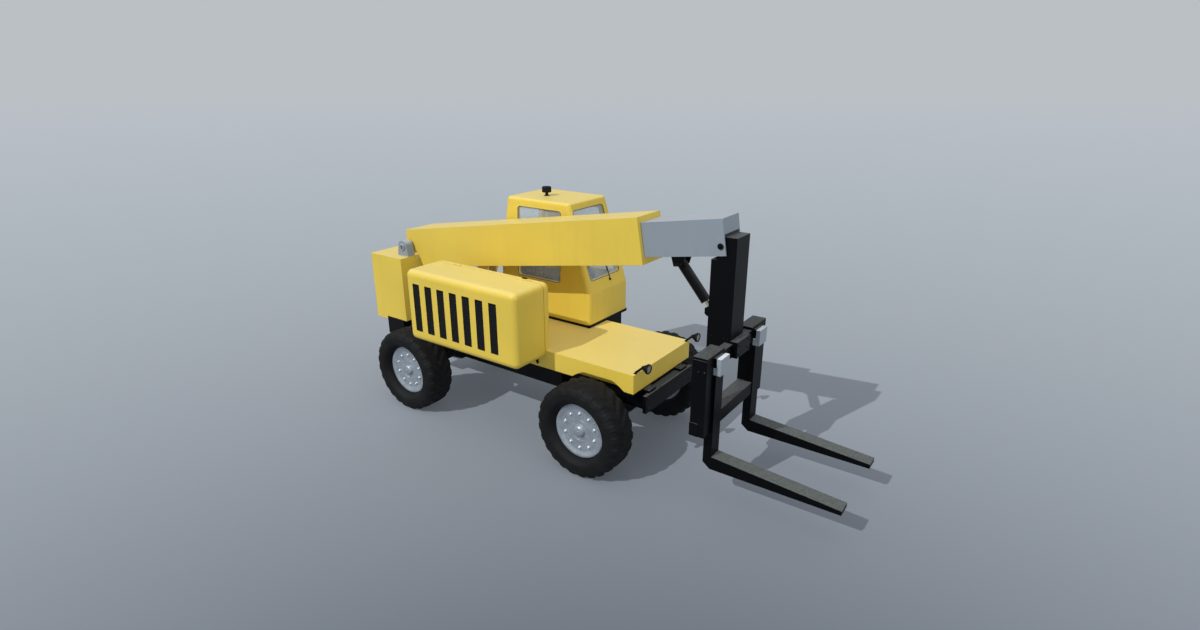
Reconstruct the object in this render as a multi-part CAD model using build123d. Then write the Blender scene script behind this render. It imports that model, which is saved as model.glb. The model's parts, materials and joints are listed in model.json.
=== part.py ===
"""Telehandler: a four-wheel-steer truck with a telescopic boom, fork carriage and side cab.

Millimetres. +X is forward (towards the forks), +Y is left, +Z is up. The origin is on the
ground, below the middle of the whole machine's bounding box. Side-view sizes are in X and Z.
The boom's own frame has u along the boom and w up, both from the lift pivot.
"""
import os
from math import atan2, cos, hypot, pi, radians, sin, tan

from build123d import *

# ---- fits -----------------------------------------------------------------------------------
RUN = 0.05          # radial clearance of a pin or spindle turning in its bore
SLIDE = 0.3         # clearance of the boom's sliding fit
MOVE = 6.0          # gap between panels that move past each other
FAR = 6000.0        # past the outside of everything, for cuts that run right out

# ---- wheels and axles -----------------------------------------------------------------------
FRONT_AXLE_X, REAR_AXLE_X = 558.0, -2042.0
TYRE_R = 505.0      # over the lugs, so also the height of the wheel centres
TYRE_Y, TYRE_HALF = 802.0, 185.0     # tyre's middle plane, and half its width
KINGPIN_Y, KINGPIN_R = 650.0, 25.0
SPINDLE_R = 60.0
RIM_SEAT_R, RIM_FLANGE_R, RIM_BORE_R = 280.0, 294.0, 262.0
RIM_HALF, FLANGE = 103.0, 12.0       # half the rim's width, and its flanges' thickness
DISC_Y, DISC = 886.0, 16.0           # the disc's outer face, and its thickness
HUB_R, HUB_Y0, HUB_Y1 = 98.0, 760.0, 924.0
LUGS, LUG_DEPTH = 24, 12.0           # lugs on each side of the tread
LUG_SLANT = 38.0                     # degrees from the wheel's axis
LUG_RISE = 0.1                       # run of a lug's flank, as a share of the pitch
AXLE_TUBE_R, AXLE_BOWL_R = 70.0, 140.0
YOKE_Y, YOKE_ARM = 565.0, 30.0       # root of the yoke's arms, and their thickness
YOKE_HALF = 120.0                    # half the yoke's height

# ---- chassis --------------------------------------------------------------------------------
CHASSIS_Z0, CHASSIS_Z1 = TYRE_R + 167.0, 907.0
CHASSIS_HALF, WAIST_HALF = 482.0, 395.0
CHASSIS_REAR = -2894.0
WAIST_REACH = 540.0                  # waist runs this far each side of an axle
DECK_Z1, DECK_HALF = 1112.0, 577.0
DECK_REAR, DECK_FRONT = -1503.0, 995.0
ARCH_GAP, ARCH_DROP = 12.0, 20.0     # arch over the tyre's tread, and its flat top below the tyre's
BEAM_X0, BEAM_X1 = DECK_FRONT + 53.0, DECK_FRONT + 94.0
BEAM_Z0, BEAM_Z1 = CHASSIS_Z0 + 6.0, 868.0
TOWER_X0, TOWER_X1, TOWER_Z1 = -3093.0, -2516.0, 1730.0
HITCH_PIN_R = 16.0

# ---- boom -----------------------------------------------------------------------------------
PIVOT = (-2623.0, 1845.0)            # lift pivot in X and Z
BOOM_ANGLE = 9.28                    # degrees above level as parked
PIVOT_PIN_R, PIVOT_BOSS_R = 45.0, 100.0
OUTER_HALF, OUTER_WALL, COLLAR = 220.0, 20.0, 80.0
OUTER_W0, OUTER_W1, OUTER_U1 = -277.0, 198.0, 3475.0
INNER_HALF, INNER_WALL = 172.0, 16.0
INNER_U0, INNER_U1, INNER_W0, INNER_W1 = 560.0, 4355.0, -204.0, 140.0
SLIDER = 120.0                       # length of the inner boom's rear slider
INNER_FLOOR_U1 = 4200.0              # the nose has no floor past here
NOSE_PIN, NOSE_PIN_R = (1652.0, 2430.0), 25.0
LIFT_BASE, LIFT_TOP_UW = (-2300.0, 1000.0), (1100.0, -372.0)
TILT_BASE, TILT_TOP = (1160.0, 2170.0), (1516.0, 1747.0)

# ---- fork carriage --------------------------------------------------------------------------
COLUMN_HALF, COLUMN_X0, COLUMN_X1 = 140.0, 1548.0, 1797.0
COLUMN_Z0, COLUMN_STEP_Z, COLUMN_Z1 = 1361.0, 2288.0, 2513.0
CARRIAGE_X0, CARRIAGE_X1 = 1676.0, 1822.0
CARRIAGE_HALF, CARRIAGE_Z0, CARRIAGE_Z1 = 666.0, 728.0, 1523.0
CAP_Y0, CAP_Z0 = 316.0, 1497.0       # cap plate over each post
LOW_BAR_Z0, LOW_BAR_Z1 = 778.0, 908.0
FORK_Y0, FORK_Y1 = 370.0, 528.0
SHANK_X0, SHANK_X1, SHANK_Z1 = 1762.0, 1850.0, 1490.0
FORK_TIP_X, BLADE_Z = 3093.0, 378.0
HOOK, HOOK_LAP = 43.0, 16.0          # hook's thickness, and how far it laps each side of the shank
HOOK_Z0, HOOK_CHEEK_Z1 = 1325.0, 1392.0

# ---- cab and hood ---------------------------------------------------------------------------
CAB_FLOOR_Z = DECK_Z1 + 36.0
CAB_REAR_X, CAB_FRONT_X, CAB_TOP_Z = DECK_REAR, -125.0, 2523.0
CAB_LEFT_Y, CAB_WALL, CAB_ROUND = 1030.0, 45.0, 55.0
CAB_SIDE = [(CAB_REAR_X, CAB_FLOOR_Z), (CAB_FRONT_X, CAB_FLOOR_Z), (CAB_FRONT_X, 1512.0),
            (-456.0, CAB_TOP_Z), (-1395.0, CAB_TOP_Z), (CAB_REAR_X, 1750.0)]      # X, Z
CAB_FRONT = [(222.0, CAB_FLOOR_Z), (CAB_LEFT_Y, CAB_FLOOR_Z), (CAB_LEFT_Y, CAB_TOP_Z),
             (283.0, CAB_TOP_Z)]                             # Y, Z
ROOF_SEAM_Z = 2450.0
CORNER_POST = 69.0                   # the front corner post, along X
GLASS, GLASS_DEPTH = 6.0, 18.0       # a pane's thickness, and its depth below the cab's skin
DOOR_REAR_X = -1150.0
DOOR_AXIS = (DOOR_REAR_X + 3.0, CAB_LEFT_Y + 2.0)
DOOR_PIN_R = 8.0
SEAT_X0, SEAT_X1 = -1340.0, -790.0   # the cushion, rear and front
SEAT_Z1, SEAT_BACK = CAB_FLOOR_Z + 412.0, 560.0      # top of the cushion, and the back's height over it
SEAT_Y, SEAT_HALF = 640.0, 240.0
COLUMN_FOOT_X, COLUMN_FOOT_Z = -300.0, 1540.0        # steering column
WHEEL_X, WHEEL_Z = -470.0, 1740.0    # middle of the steering wheel
WHEEL_R, GRIP_R = 170.0, 12.0
HOOD_SEAM_Y = -DECK_HALF - 10.0
HOOD = (-1755.0, -120.0, -1040.0, 107.0 - DECK_HALF, 1030.0, 1859.0)     # X, Y and Z limits
HOOD_WALL, HOOD_ROUND = 6.0, 70.0
SLOT_COUNT, SLOT_X0, SLOT_PITCH, SLOT_WIDTH = 7, -1636.0, 193.0, 106.0
SLOT_Z0, SLOT_Z1 = 1156.0, 1712.0
HINGE, HINGE_LEAF = 80.0, 34.0       # length of each knuckle of the hood's hinges, and its leaf
BEACON_XY, BEACON_R = (-1010.0, 580.0), 52.0
LAMP_Y = DECK_HALF - 54.0


# ---- shapes ---------------------------------------------------------------------------------
def block(x0, x1, y0, y1, z0, z1):
    """Box between three pairs of limits."""
    return Pos((x0 + x1) / 2, (y0 + y1) / 2, (z0 + z1) / 2) * Box(x1 - x0, y1 - y0, z1 - z0)


def across(points, y0, y1):
    """Outline in X and Z, carried across from y0 to y1."""
    outline = Polyline(*[(x, y0, z) for x, z in points], close=True)
    return extrude(make_face(outline), y1 - y0, dir=(0, 1, 0))


def along(points, x0, x1):
    """Outline in Y and Z, carried along from x0 to x1."""
    outline = Polyline(*[(x0, y, z) for y, z in points], close=True)
    return extrude(make_face(outline), x1 - x0, dir=(1, 0, 0))


def upright(points, z0, z1):
    """Outline in X and Y, carried up from z0 to z1."""
    outline = Polyline(*[(x, y, z0) for x, y in points], close=True)
    return extrude(make_face(outline), z1 - z0, dir=(0, 0, 1))


def rod(start, end, radius):
    """Round bar between two points."""
    way = Vector(*end) - Vector(*start)
    return Plane(origin=start, z_dir=way) * Pos(0, 0, way.length / 2) * Cylinder(radius, way.length)


def pin_y(radius, x, z, y0, y1):
    """Round bar along Y."""
    return rod((x, y0, z), (x, y1, z), radius)


def pin_z(radius, x, y, z0, z1):
    """Round bar along Z."""
    return rod((x, y, z0), (x, y, z1), radius)


def bar(start, end, s0, s1, radius):
    """Round bar on the line from start to end (X, Z), between the distances s0 and s1."""
    length = hypot(end[0] - start[0], end[1] - start[1])
    way = ((end[0] - start[0]) / length, (end[1] - start[1]) / length)
    p, q = ((start[0] + way[0] * s, 0, start[1] + way[1] * s) for s in (s0, s1))
    return rod(p, q, radius)


def both_sides(part):
    """A part and its mirror image across the machine's middle plane."""
    return part + mirror(part, Plane.XZ)


def spun(points, origin, axis):
    """Solid turned from an outline in radius and distance along an axis."""
    outline = Polyline(*[(r, 0, d) for r, d in points], close=True)
    return Plane(origin=origin, z_dir=axis) * revolve(make_face(outline), Axis.Z)


def inset(points, distance):
    """Outline moved inwards by a distance, for an outline that runs anticlockwise."""
    moved = []
    for before, here, after in zip(points[-1:] + points[:-1], points, points[1:] + points[:1]):
        a = atan2(here[1] - before[1], here[0] - before[0])
        b = atan2(after[1] - here[1], after[0] - here[0])
        na, nb = (-sin(a), cos(a)), (-sin(b), cos(b))
        k = distance / (1 + na[0] * nb[0] + na[1] * nb[1])
        moved.append((here[0] + k * (na[0] + nb[0]), here[1] + k * (na[1] + nb[1])))
    return moved


parts = {}

# ---- boom frame -----------------------------------------------------------------------------
boom_frame = Location((PIVOT[0], 0, PIVOT[1]), (0, -BOOM_ANGLE, 0))


def boom_point(u, w):
    """X and Z of a point given in the boom's own frame."""
    a = radians(BOOM_ANGLE)
    return (PIVOT[0] + u * cos(a) - w * sin(a), PIVOT[1] + u * sin(a) + w * cos(a))


def boom_uw(x, z):
    """Place in the boom's own frame of a point in X and Z."""
    a = radians(BOOM_ANGLE)
    x, z = x - PIVOT[0], z - PIVOT[1]
    return (x * cos(a) + z * sin(a), z * cos(a) - x * sin(a))


# ---- lift and tilt cylinders: sizes ---------------------------------------------------------
LIFT_TOP = boom_point(*LIFT_TOP_UW)
CYLINDERS = {
    "lift": dict(start=LIFT_BASE, end=LIFT_TOP, pin=30, barrel=60, bore=48, barrel_end=950, rod=35,
                 eye=50, eye_half=56, piston=(90, 120), ears=(66, 90)),
    "tilt": dict(start=TILT_BASE, end=TILT_TOP, pin=20, barrel=52, bore=40, barrel_end=456, rod=22,
                 eye=34, eye_half=48, piston=(96, 120), ears=(62, 82)),
}
lift, tilt = CYLINDERS["lift"], CYLINDERS["tilt"]

# ---- chassis --------------------------------------------------------------------------------
side_line = [(CHASSIS_REAR, CHASSIS_HALF)]
for axle_x in (REAR_AXLE_X, FRONT_AXLE_X):
    x0, x1 = axle_x - WAIST_REACH, min(axle_x + WAIST_REACH, BEAM_X0)
    side_line += [(x0, CHASSIS_HALF), (x0, WAIST_HALF), (x1, WAIST_HALF)]
    if x1 < BEAM_X0:
        side_line.append((x1, CHASSIS_HALF))
plan = side_line + [(x, -y) for x, y in reversed(side_line)]
chassis = upright(plan, CHASSIS_Z0, CHASSIS_Z1)
chassis -= block(DECK_FRONT, BEAM_X0, -FAR, FAR, BEAM_Z1, CHASSIS_Z1)
hitch_x, hitch_z = CHASSIS_REAR - 70, CHASSIS_Z0 + 70
hitch_ear = block(hitch_x, CHASSIS_REAR, 30, 50, hitch_z - 50, hitch_z + 50)
hitch_ear += pin_y(50, hitch_x, hitch_z, 30, 50)
hitch_ear -= pin_y(HITCH_PIN_R, hitch_x, hitch_z, 20, 60)
parts["chassis_frame"] = chassis + both_sides(hitch_ear)

x, z = LIFT_BASE
lift_ear = across([(x - 90, CHASSIS_Z1), (x + 90, CHASSIS_Z1), (x + 56, z + 20), (x - 56, z + 20)],
                  *lift["ears"])
lift_ear += pin_y(60, x, z, *lift["ears"])
pin_end = lift["ears"][1] + 5
parts["lift_cylinder_bracket"] = both_sides(lift_ear) + pin_y(lift["pin"], *LIFT_BASE, -pin_end, pin_end)

beam = block(BEAM_X0, BEAM_X1, -CHASSIS_HALF, CHASSIS_HALF, BEAM_Z0, BEAM_Z1)
pad = block(DECK_FRONT + 2, BEAM_X1 - 20, 258, WAIST_HALF, BEAM_Z1, BEAM_Z1 + 28)
parts["front_crossmember"] = beam + both_sides(pad)

deck = block(DECK_REAR, DECK_FRONT, -DECK_HALF, DECK_HALF, CHASSIS_Z1, DECK_Z1)
arch = pin_y(TYRE_R + ARCH_GAP, FRONT_AXLE_X, TYRE_R, CHASSIS_HALF + 3, FAR)
arch &= block(-FAR, FAR, 0, FAR, 0, 2 * TYRE_R - ARCH_DROP)
parts["front_deck"] = deck - both_sides(arch)

tower = block(TOWER_X0, TOWER_X1, -CHASSIS_HALF, CHASSIS_HALF, BEAM_Z1, TOWER_Z1)
tower -= block(CHASSIS_REAR, FAR, -FAR, FAR, BEAM_Z1, CHASSIS_Z1)
tower -= block(PIVOT[0] - 125, FAR, -OUTER_HALF - 15, OUTER_HALF + 15, TOWER_Z1 - 45, TOWER_Z1)
parts["boom_tower"] = tower

bearing_y0, bearing_y1 = OUTER_HALF + 25, OUTER_HALF + 130
x, z = PIVOT
bearing = across([(x - 100, TOWER_Z1), (x + 100, TOWER_Z1), (x + 74, z + 24), (x - 74, z + 24)],
                 bearing_y0, bearing_y1)
bearing += pin_y(78, x, z, bearing_y0, bearing_y1)
parts["boom_pivot"] = both_sides(bearing) + pin_y(PIVOT_PIN_R, *PIVOT, -bearing_y1 - 6, bearing_y1 + 6)

# ---- tyres ----------------------------------------------------------------------------------
def ring_solid(rings):
    """Closed ring of flat triangles through outlines of equally many points, the last joined
    to the first."""
    faces = []
    for a, b in zip(rings, rings[1:] + rings[:1]):
        for i in range(len(a)):
            j = (i + 1) % len(a)
            for corners in ((a[i], a[j], b[j]), (a[i], b[j], b[i])):
                faces.append(Face(Wire.make_polygon(corners)))
    return Solid(Shell(faces))


def lugged_ring(y, low, high, turn, first):
    """Outline round an axle along Y: lugs that rise from the low to the high radius and fall again."""
    points = []
    for n in range(LUGS):
        for share, r in ((0, low), (LUG_RISE, high), (0.5, high), (0.5 + LUG_RISE, low)):
            r = r if first else low + high - r
            a = 2 * pi * (n + share) / LUGS + turn
            points.append((r * sin(a), y, r * cos(a)))
    return points


# the bead's flat sides clear the rim's round seat
bead_r = (RIM_SEAT_R + SLIDE) / cos(pi * (0.5 - LUG_RISE) / LUGS)
bead_half = RIM_HALF - FLANGE - SLIDE
# distance from the middle plane, radius between lugs, radius on a lug
TREAD = [(6, TYRE_R - LUG_DEPTH, TYRE_R), (128, TYRE_R - LUG_DEPTH - 4, TYRE_R - 4),
         (165, TYRE_R - 36, TYRE_R - 27), (TYRE_HALF, TYRE_R - 108, TYRE_R - 108),
         (bead_half, RIM_FLANGE_R + 2, RIM_FLANGE_R + 2), (bead_half, bead_r, bead_r)]
sweep = tan(radians(LUG_SLANT)) / TYRE_R
phase = sweep * TREAD[0][0] - 2 * pi * LUG_RISE / LUGS
outside, inside = [], []
for y, low, high in TREAD:
    turn = phase - sweep * min(y, TREAD[1][0])
    outside.append(lugged_ring(TYRE_Y + y, low, high, turn, True))
    inside.append(lugged_ring(TYRE_Y - y, low, high, turn, False))
tyre = ring_solid(outside + inside[::-1])

# ---- rims, knuckles and axles ---------------------------------------------------------------
rim_y0, rim_y1 = TYRE_Y - RIM_HALF, TYRE_Y + RIM_HALF
disc_y0, bore_end = DISC_Y - DISC, DISC_Y - DISC - 18
spindle_bore = SPINDLE_R + RUN
RIM = [(0, HUB_Y1), (46, HUB_Y1), (62, HUB_Y1 - 14), (68, DISC_Y), (RIM_BORE_R - 26, DISC_Y),
       (RIM_BORE_R, rim_y1 - 4), (RIM_FLANGE_R - 6, rim_y1), (RIM_FLANGE_R, rim_y1 - 6),
       (RIM_FLANGE_R, rim_y1 - FLANGE), (RIM_SEAT_R, rim_y1 - FLANGE), (RIM_SEAT_R, rim_y0 + FLANGE),
       (RIM_FLANGE_R, rim_y0 + FLANGE), (RIM_FLANGE_R, rim_y0), (RIM_BORE_R, rim_y0),
       (RIM_BORE_R, disc_y0), (HUB_R, disc_y0), (HUB_R, HUB_Y0), (spindle_bore, HUB_Y0),
       (spindle_bore, bore_end), (0, bore_end)]      # radius, Y
rim = spun(RIM, (0, 0, 0), (0, 1, 0))

knuckle_y = KINGPIN_Y + 45
knuckle = block(-55, 55, KINGPIN_Y - 45, knuckle_y, -85, 85)
knuckle += pin_z(KINGPIN_R, 0, KINGPIN_Y, -YOKE_HALF - 5, YOKE_HALF + 5)
knuckle += pin_y(SPINDLE_R, 0, 0, knuckle_y, bore_end - 4)

yoke = block(-60, 60, YOKE_Y - 25, YOKE_Y, -YOKE_HALF, YOKE_HALF)
for z0, z1 in ((YOKE_HALF - YOKE_ARM, YOKE_HALF), (-YOKE_HALF, YOKE_ARM - YOKE_HALF)):
    yoke += block(-60, 60, YOKE_Y, knuckle_y, z0, z1) - pin_z(KINGPIN_R + RUN, 0, KINGPIN_Y, z0 - 1, z1 + 1)
AXLE = [(0, YOKE_Y - 20), (AXLE_TUBE_R, YOKE_Y - 20), (AXLE_TUBE_R, 190), (AXLE_BOWL_R, 70)]      # radius, Y
housing = spun(AXLE + [(r, -y) for r, y in reversed(AXLE)], (0, 0, 0), (0, 1, 0))
saddle = block(-80, 80, 200, 330, 0, CHASSIS_Z0 - TYRE_R)
axle = housing + both_sides(yoke) + both_sides(saddle)

for end, axle_x in (("front", FRONT_AXLE_X), ("rear", REAR_AXLE_X)):
    there = Location((axle_x, 0, TYRE_R))
    parts[f"{end}_axle"] = there * axle
    for side in ("left", "right"):
        for name, shape in (("knuckle", knuckle), ("rim", rim), ("tyre", tyre)):
            parts[f"{name}_{end}_{side}"] = there * (shape if side == "left" else mirror(shape, Plane.XZ))

# ---- boom -----------------------------------------------------------------------------------
outer = across([(-35, OUTER_W1), (-43, 65), (132, -126), (171, OUTER_W0), (OUTER_U1, OUTER_W0),
                (OUTER_U1, OUTER_W1)], -OUTER_HALF, OUTER_HALF)
outer += pin_y(PIVOT_BOSS_R, 0, 0, -OUTER_HALF, OUTER_HALF)
bore_half, bore_w0, bore_w1 = OUTER_HALF - OUTER_WALL, OUTER_W0 + OUTER_WALL, OUTER_W1 - OUTER_WALL
outer -= block(260, OUTER_U1 - COLLAR, -bore_half, bore_half, bore_w0, bore_w1)
outer -= block(OUTER_U1 - COLLAR, OUTER_U1, -INNER_HALF - SLIDE, INNER_HALF + SLIDE,
               INNER_W0 - SLIDE, INNER_W1 + SLIDE)
outer -= pin_y(PIVOT_PIN_R + RUN, 0, 0, -FAR, FAR)
u, w = LIFT_TOP_UW
lift_clevis = across([(u - 110, OUTER_W0), (u - 52, w - 30), (u + 52, w - 30), (u + 110, OUTER_W0)],
                     *lift["ears"])
lift_clevis += pin_y(60, u, w, *lift["ears"])
parts["outer_boom"] = boom_frame * (outer + both_sides(lift_clevis))

inner = block(INNER_U0, INNER_U1, -INNER_HALF, INNER_HALF, INNER_W0, INNER_W1)
inner += block(INNER_U0, INNER_U0 + SLIDER, SLIDE - bore_half, bore_half - SLIDE,
               bore_w0 + SLIDE, bore_w1 - SLIDE)
inner -= block(INNER_U0, INNER_U1 - INNER_WALL, INNER_WALL - INNER_HALF, INNER_HALF - INNER_WALL,
               INNER_W0 + INNER_WALL, INNER_W1 - INNER_WALL)
inner -= block(INNER_FLOOR_U1, INNER_U1, INNER_WALL - INNER_HALF, INNER_HALF - INNER_WALL,
               INNER_W0, -8)
inner = boom_frame * inner
parts["inner_boom"] = inner + pin_y(NOSE_PIN_R, *NOSE_PIN, -INNER_HALF - 8, INNER_HALF + 8)

u, w = boom_uw(*TILT_BASE)
tilt_ear = across([(u - 60, INNER_W0), (u - 45, w - 30), (u + 45, w - 30), (u + 100, INNER_W0)],
                  *tilt["ears"])
pin_end = tilt["ears"][1] + 6
tilt_pin = pin_y(tilt["pin"], u, w, -pin_end, pin_end)
parts["tilt_cylinder_bracket"] = boom_frame * (both_sides(tilt_ear) + tilt_pin)

# ---- lift and tilt cylinders ----------------------------------------------------------------
for name, c in CYLINDERS.items():
    start, end = c["start"], c["end"]
    length = hypot(end[0] - start[0], end[1] - start[1])
    barrel = bar(start, end, -c["pin"] - 8, c["barrel_end"], c["barrel"])
    barrel -= bar(start, end, c["pin"] + 18, c["barrel_end"] - 30, c["bore"])
    barrel -= bar(start, end, c["barrel_end"] - 40, c["barrel_end"] + 1, c["rod"] + RUN)
    barrel -= pin_y(c["pin"] + RUN, *start, -100, 100)
    parts[f"{name}_cylinder_barrel"] = barrel
    piston0, piston1 = c["piston"]
    rod_bar = bar(start, end, piston0, length - c["eye"] / 2, c["rod"])
    rod_bar += bar(start, end, piston0, piston1, c["bore"] - RUN)
    parts[f"{name}_cylinder_rod"] = rod_bar + pin_y(c["eye"], *end, -c["eye_half"], c["eye_half"])

# ---- boom head, carriage and forks ----------------------------------------------------------
x, z = TILT_TOP
COLUMN = [(COLUMN_X0, COLUMN_Z0), (COLUMN_X1, COLUMN_Z0), (COLUMN_X1, COLUMN_Z1),
          (NOSE_PIN[0] - 52, COLUMN_Z1), (NOSE_PIN[0] - 52, COLUMN_STEP_Z), (COLUMN_X0, COLUMN_STEP_Z)]
head = across(COLUMN, -COLUMN_HALF, COLUMN_HALF)
head -= pin_y(NOSE_PIN_R + RUN, *NOSE_PIN, -FAR, FAR) + pin_y(tilt["eye"] + 18, x, z, -56, 56)
tilt_clevis = across([(COLUMN_X0, z - 57), (COLUMN_X0, z + 68), (x + 4, z + 53), (x - 38, z + 28),
                      (x - 38, z - 27), (x - 16, z - 47)], 58, 76)
parts["boom_head"] = head + both_sides(tilt_clevis)

post = block(CARRIAGE_X0, CARRIAGE_X1, FORK_Y0, CARRIAGE_HALF, CARRIAGE_Z0, CAP_Z0)
post -= block(SHANK_X0, FAR, 0, FORK_Y1, 0, FAR)
post += block(CARRIAGE_X0, CARRIAGE_X1, CAP_Y0, CARRIAGE_HALF, CAP_Z0, CARRIAGE_Z1)
post += block(CARRIAGE_X0 - 4, SHANK_X0, FORK_Y1, CARRIAGE_HALF + 5, CARRIAGE_Z0, CARRIAGE_Z0 + 130)
top_bar = block(CARRIAGE_X0 + 60, CARRIAGE_X1, -FORK_Y0, FORK_Y0, COLUMN_Z0, CAP_Z0)
top_bar -= block(-FAR, COLUMN_X1, -COLUMN_HALF, COLUMN_HALF, 0, FAR)
low_bar = block(CARRIAGE_X0 + 10, CARRIAGE_X1 + 20, -FORK_Y0, FORK_Y0, LOW_BAR_Z0, LOW_BAR_Z1)
foot = block(COLUMN_X1, SHANK_X1 + 23, -COLUMN_HALF - 6, COLUMN_HALF + 6, COLUMN_Z0, CARRIAGE_Z1)
parts["fork_carriage"] = both_sides(post) + top_bar + low_bar + foot

FORK = [(SHANK_X0, SHANK_Z1), (SHANK_X0, BLADE_Z + 22), (SHANK_X0 + 76, BLADE_Z - 38),
        (FORK_TIP_X, BLADE_Z - 45), (FORK_TIP_X, BLADE_Z), (SHANK_X1, BLADE_Z + 96),
        (SHANK_X1, SHANK_Z1)]                                # X, Z
hook = block(SHANK_X1, SHANK_X1 + HOOK, FORK_Y0 - HOOK_LAP, FORK_Y1 + 4, HOOK_Z0, SHANK_Z1)
hook += block(CARRIAGE_X1, SHANK_X1, FORK_Y0 - HOOK_LAP, FORK_Y0, HOOK_Z0, HOOK_CHEEK_Z1)
hook += block(CARRIAGE_X1, SHANK_X1, FORK_Y1, FORK_Y1 + 4, HOOK_Z0, HOOK_CHEEK_Z1)
for side, y0 in (("left", FORK_Y0), ("right", -FORK_Y1)):
    parts[f"fork_{side}"] = across(FORK, y0, y0 + FORK_Y1 - FORK_Y0)
parts["fork_hooks"] = both_sides(hook)

# ---- cab ------------------------------------------------------------------------------------
def cab_solid(depth, floor_z=CAB_FLOOR_Z):
    """The cab's outside, moved inwards by a depth, down to a floor."""
    side, front = inset(CAB_SIDE, depth), inset(CAB_FRONT, depth)
    side[:2] = [(x, floor_z) for x, z in side[:2]]
    front[:2] = [(y, floor_z) for y, z in front[:2]]
    return across(side, 0, FAR) & along(front, -FAR, FAR)


skin = cab_solid(0)
skin = fillet([e for e in skin.edges() if abs(e.tangent_at(0.5).Z) > 0.5], CAB_ROUND)
skin = fillet(skin.faces().sort_by(Axis.Z)[-1].edges(), 0.7 * CAB_ROUND)
shell = skin - cab_solid(CAB_WALL, floor_z=CAB_FLOOR_Z - 1)


def window(origin, normal, width, height, depth):
    """Rounded window cut, centred on its origin, going the depth both ways."""
    x_dir = (0, 1, 0) if normal[0] else (1, 0, 0)
    outline = Plane(origin=origin, x_dir=x_dir, z_dir=normal) * RectangleRounded(width, height, 40)
    return extrude(outline, depth, both=True)


windows = {
    "front": window((-330, 618, 2044), (1, 0, 0), 588, 788, 250),
    "right": window((-888, 240, 2004), (0, -1, 0), 654, 840, 120),
    "rear": window((-1440, 650, 2050), (1, 0, 0), 560, 680, 120),
}
# the door, its window, and the walls are cut from the one shell
door_y0, door_x1, door_z1 = CAB_LEFT_Y - 130, CAB_FRONT_X - CORNER_POST, ROOF_SEAM_Z - 10
door_line = [(DOOR_REAR_X, CAB_FLOOR_Z + MOVE), (door_x1, CAB_FLOOR_Z + MOVE), (door_x1, 1509),
             (-494, door_z1), (DOOR_REAR_X, door_z1)]
door_space = across(door_line, door_y0, FAR)
window_line = inset([(DOOR_REAR_X, 1530), (door_x1 - 4, 1530), (-494, door_z1), (DOOR_REAR_X, door_z1)], 72)
door_window = across(window_line, door_y0, FAR)
rear_x = CAB_REAR_X + 60
left_zone = block(rear_x, FAR, CAB_LEFT_Y - 70, FAR, 0, ROOF_SEAM_Z)
front_zone = across([(door_x1 + MOVE, 0), (FAR, 0), (FAR, 2700), (-572, 2700), (door_x1 + MOVE, 1512)],
                    0, FAR)
rear_zone = across([(rear_x, 0), (rear_x, 1744), (-1317, 2700), (-FAR, 2700), (-FAR, 0)], 0, FAR)
roof_zone = block(-FAR, FAR, 0, FAR, ROOF_SEAM_Z, FAR)

walls = shell - roof_zone
parts["cab_roof"] = shell & roof_zone
parts["cab_front"] = (walls & front_zone) - windows["front"]
parts["cab_rear"] = (walls & rear_zone) - windows["rear"]
sides = walls - front_zone - rear_zone
parts["cab_right_side"] = (sides - left_zone) - windows["right"]
left_side = (sides & left_zone) - block(DOOR_REAR_X - MOVE, FAR, door_y0, FAR, 0, FAR)
door = (sides & left_zone & door_space) - door_window
hinge_x = DOOR_AXIS[0]
for z in (1300, 2200):
    door += pin_z(DOOR_PIN_R, *DOOR_AXIS, z, z + 60)
    door += block(hinge_x, hinge_x + 40, CAB_LEFT_Y, CAB_LEFT_Y + 5, z, z + 60)
    door -= pin_z(DOOR_PIN_R + 2, *DOOR_AXIS, z - 60 - 2, z)
    left_side += pin_z(DOOR_PIN_R, *DOOR_AXIS, z - 60, z - SLIDE)
    left_side += block(hinge_x - 46, hinge_x - 6, CAB_LEFT_Y, CAB_LEFT_Y + 5, z - 60, z - SLIDE)
parts["cab_left_side"] = left_side
parts["cab_door"] = door

pane = cab_solid(GLASS_DEPTH) - cab_solid(GLASS_DEPTH + GLASS)
parts["cab_glazing"] = Part() + [pane & cut for cut in windows.values()]
glass_y = CAB_LEFT_Y - GLASS_DEPTH
parts["door_glass"] = door_window & block(-FAR, FAR, glass_y - GLASS, glass_y, 0, FAR)

# platform with the steps and tank under the cab's left half
step_y0, step_y1 = 905, 985
platform = block(CAB_REAR_X, CAB_FRONT_X, 230, CAB_LEFT_Y - 15, DECK_Z1, CAB_FLOOR_Z)
platform += block(CAB_REAR_X + 53, CAB_FRONT_X - 6, DECK_HALF, step_y0, 720, DECK_Z1)
platform += block(-950, -550, step_y0, step_y1, 770, 790)
for x in (-950, -565):
    platform += block(x, x + 15, step_y0, step_y1, 770, 860)
parts["cab_platform"] = platform

y0, y1 = SEAT_Y - SEAT_HALF, SEAT_Y + SEAT_HALF
seat = block(SEAT_X0 + 30, SEAT_X1 - 20, y0 + 40, y1 - 40, CAB_FLOOR_Z, SEAT_Z1 - 120)
seat += block(SEAT_X0, SEAT_X1, y0, y1, SEAT_Z1 - 120, SEAT_Z1)
seat += across([(SEAT_X0, SEAT_Z1), (SEAT_X0 + 110, SEAT_Z1), (SEAT_X0 + 50, SEAT_Z1 + SEAT_BACK),
                (SEAT_X0 - 40, SEAT_Z1 + SEAT_BACK)], y0 + 20, y1 - 20)
parts["operator_seat"] = seat

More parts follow.
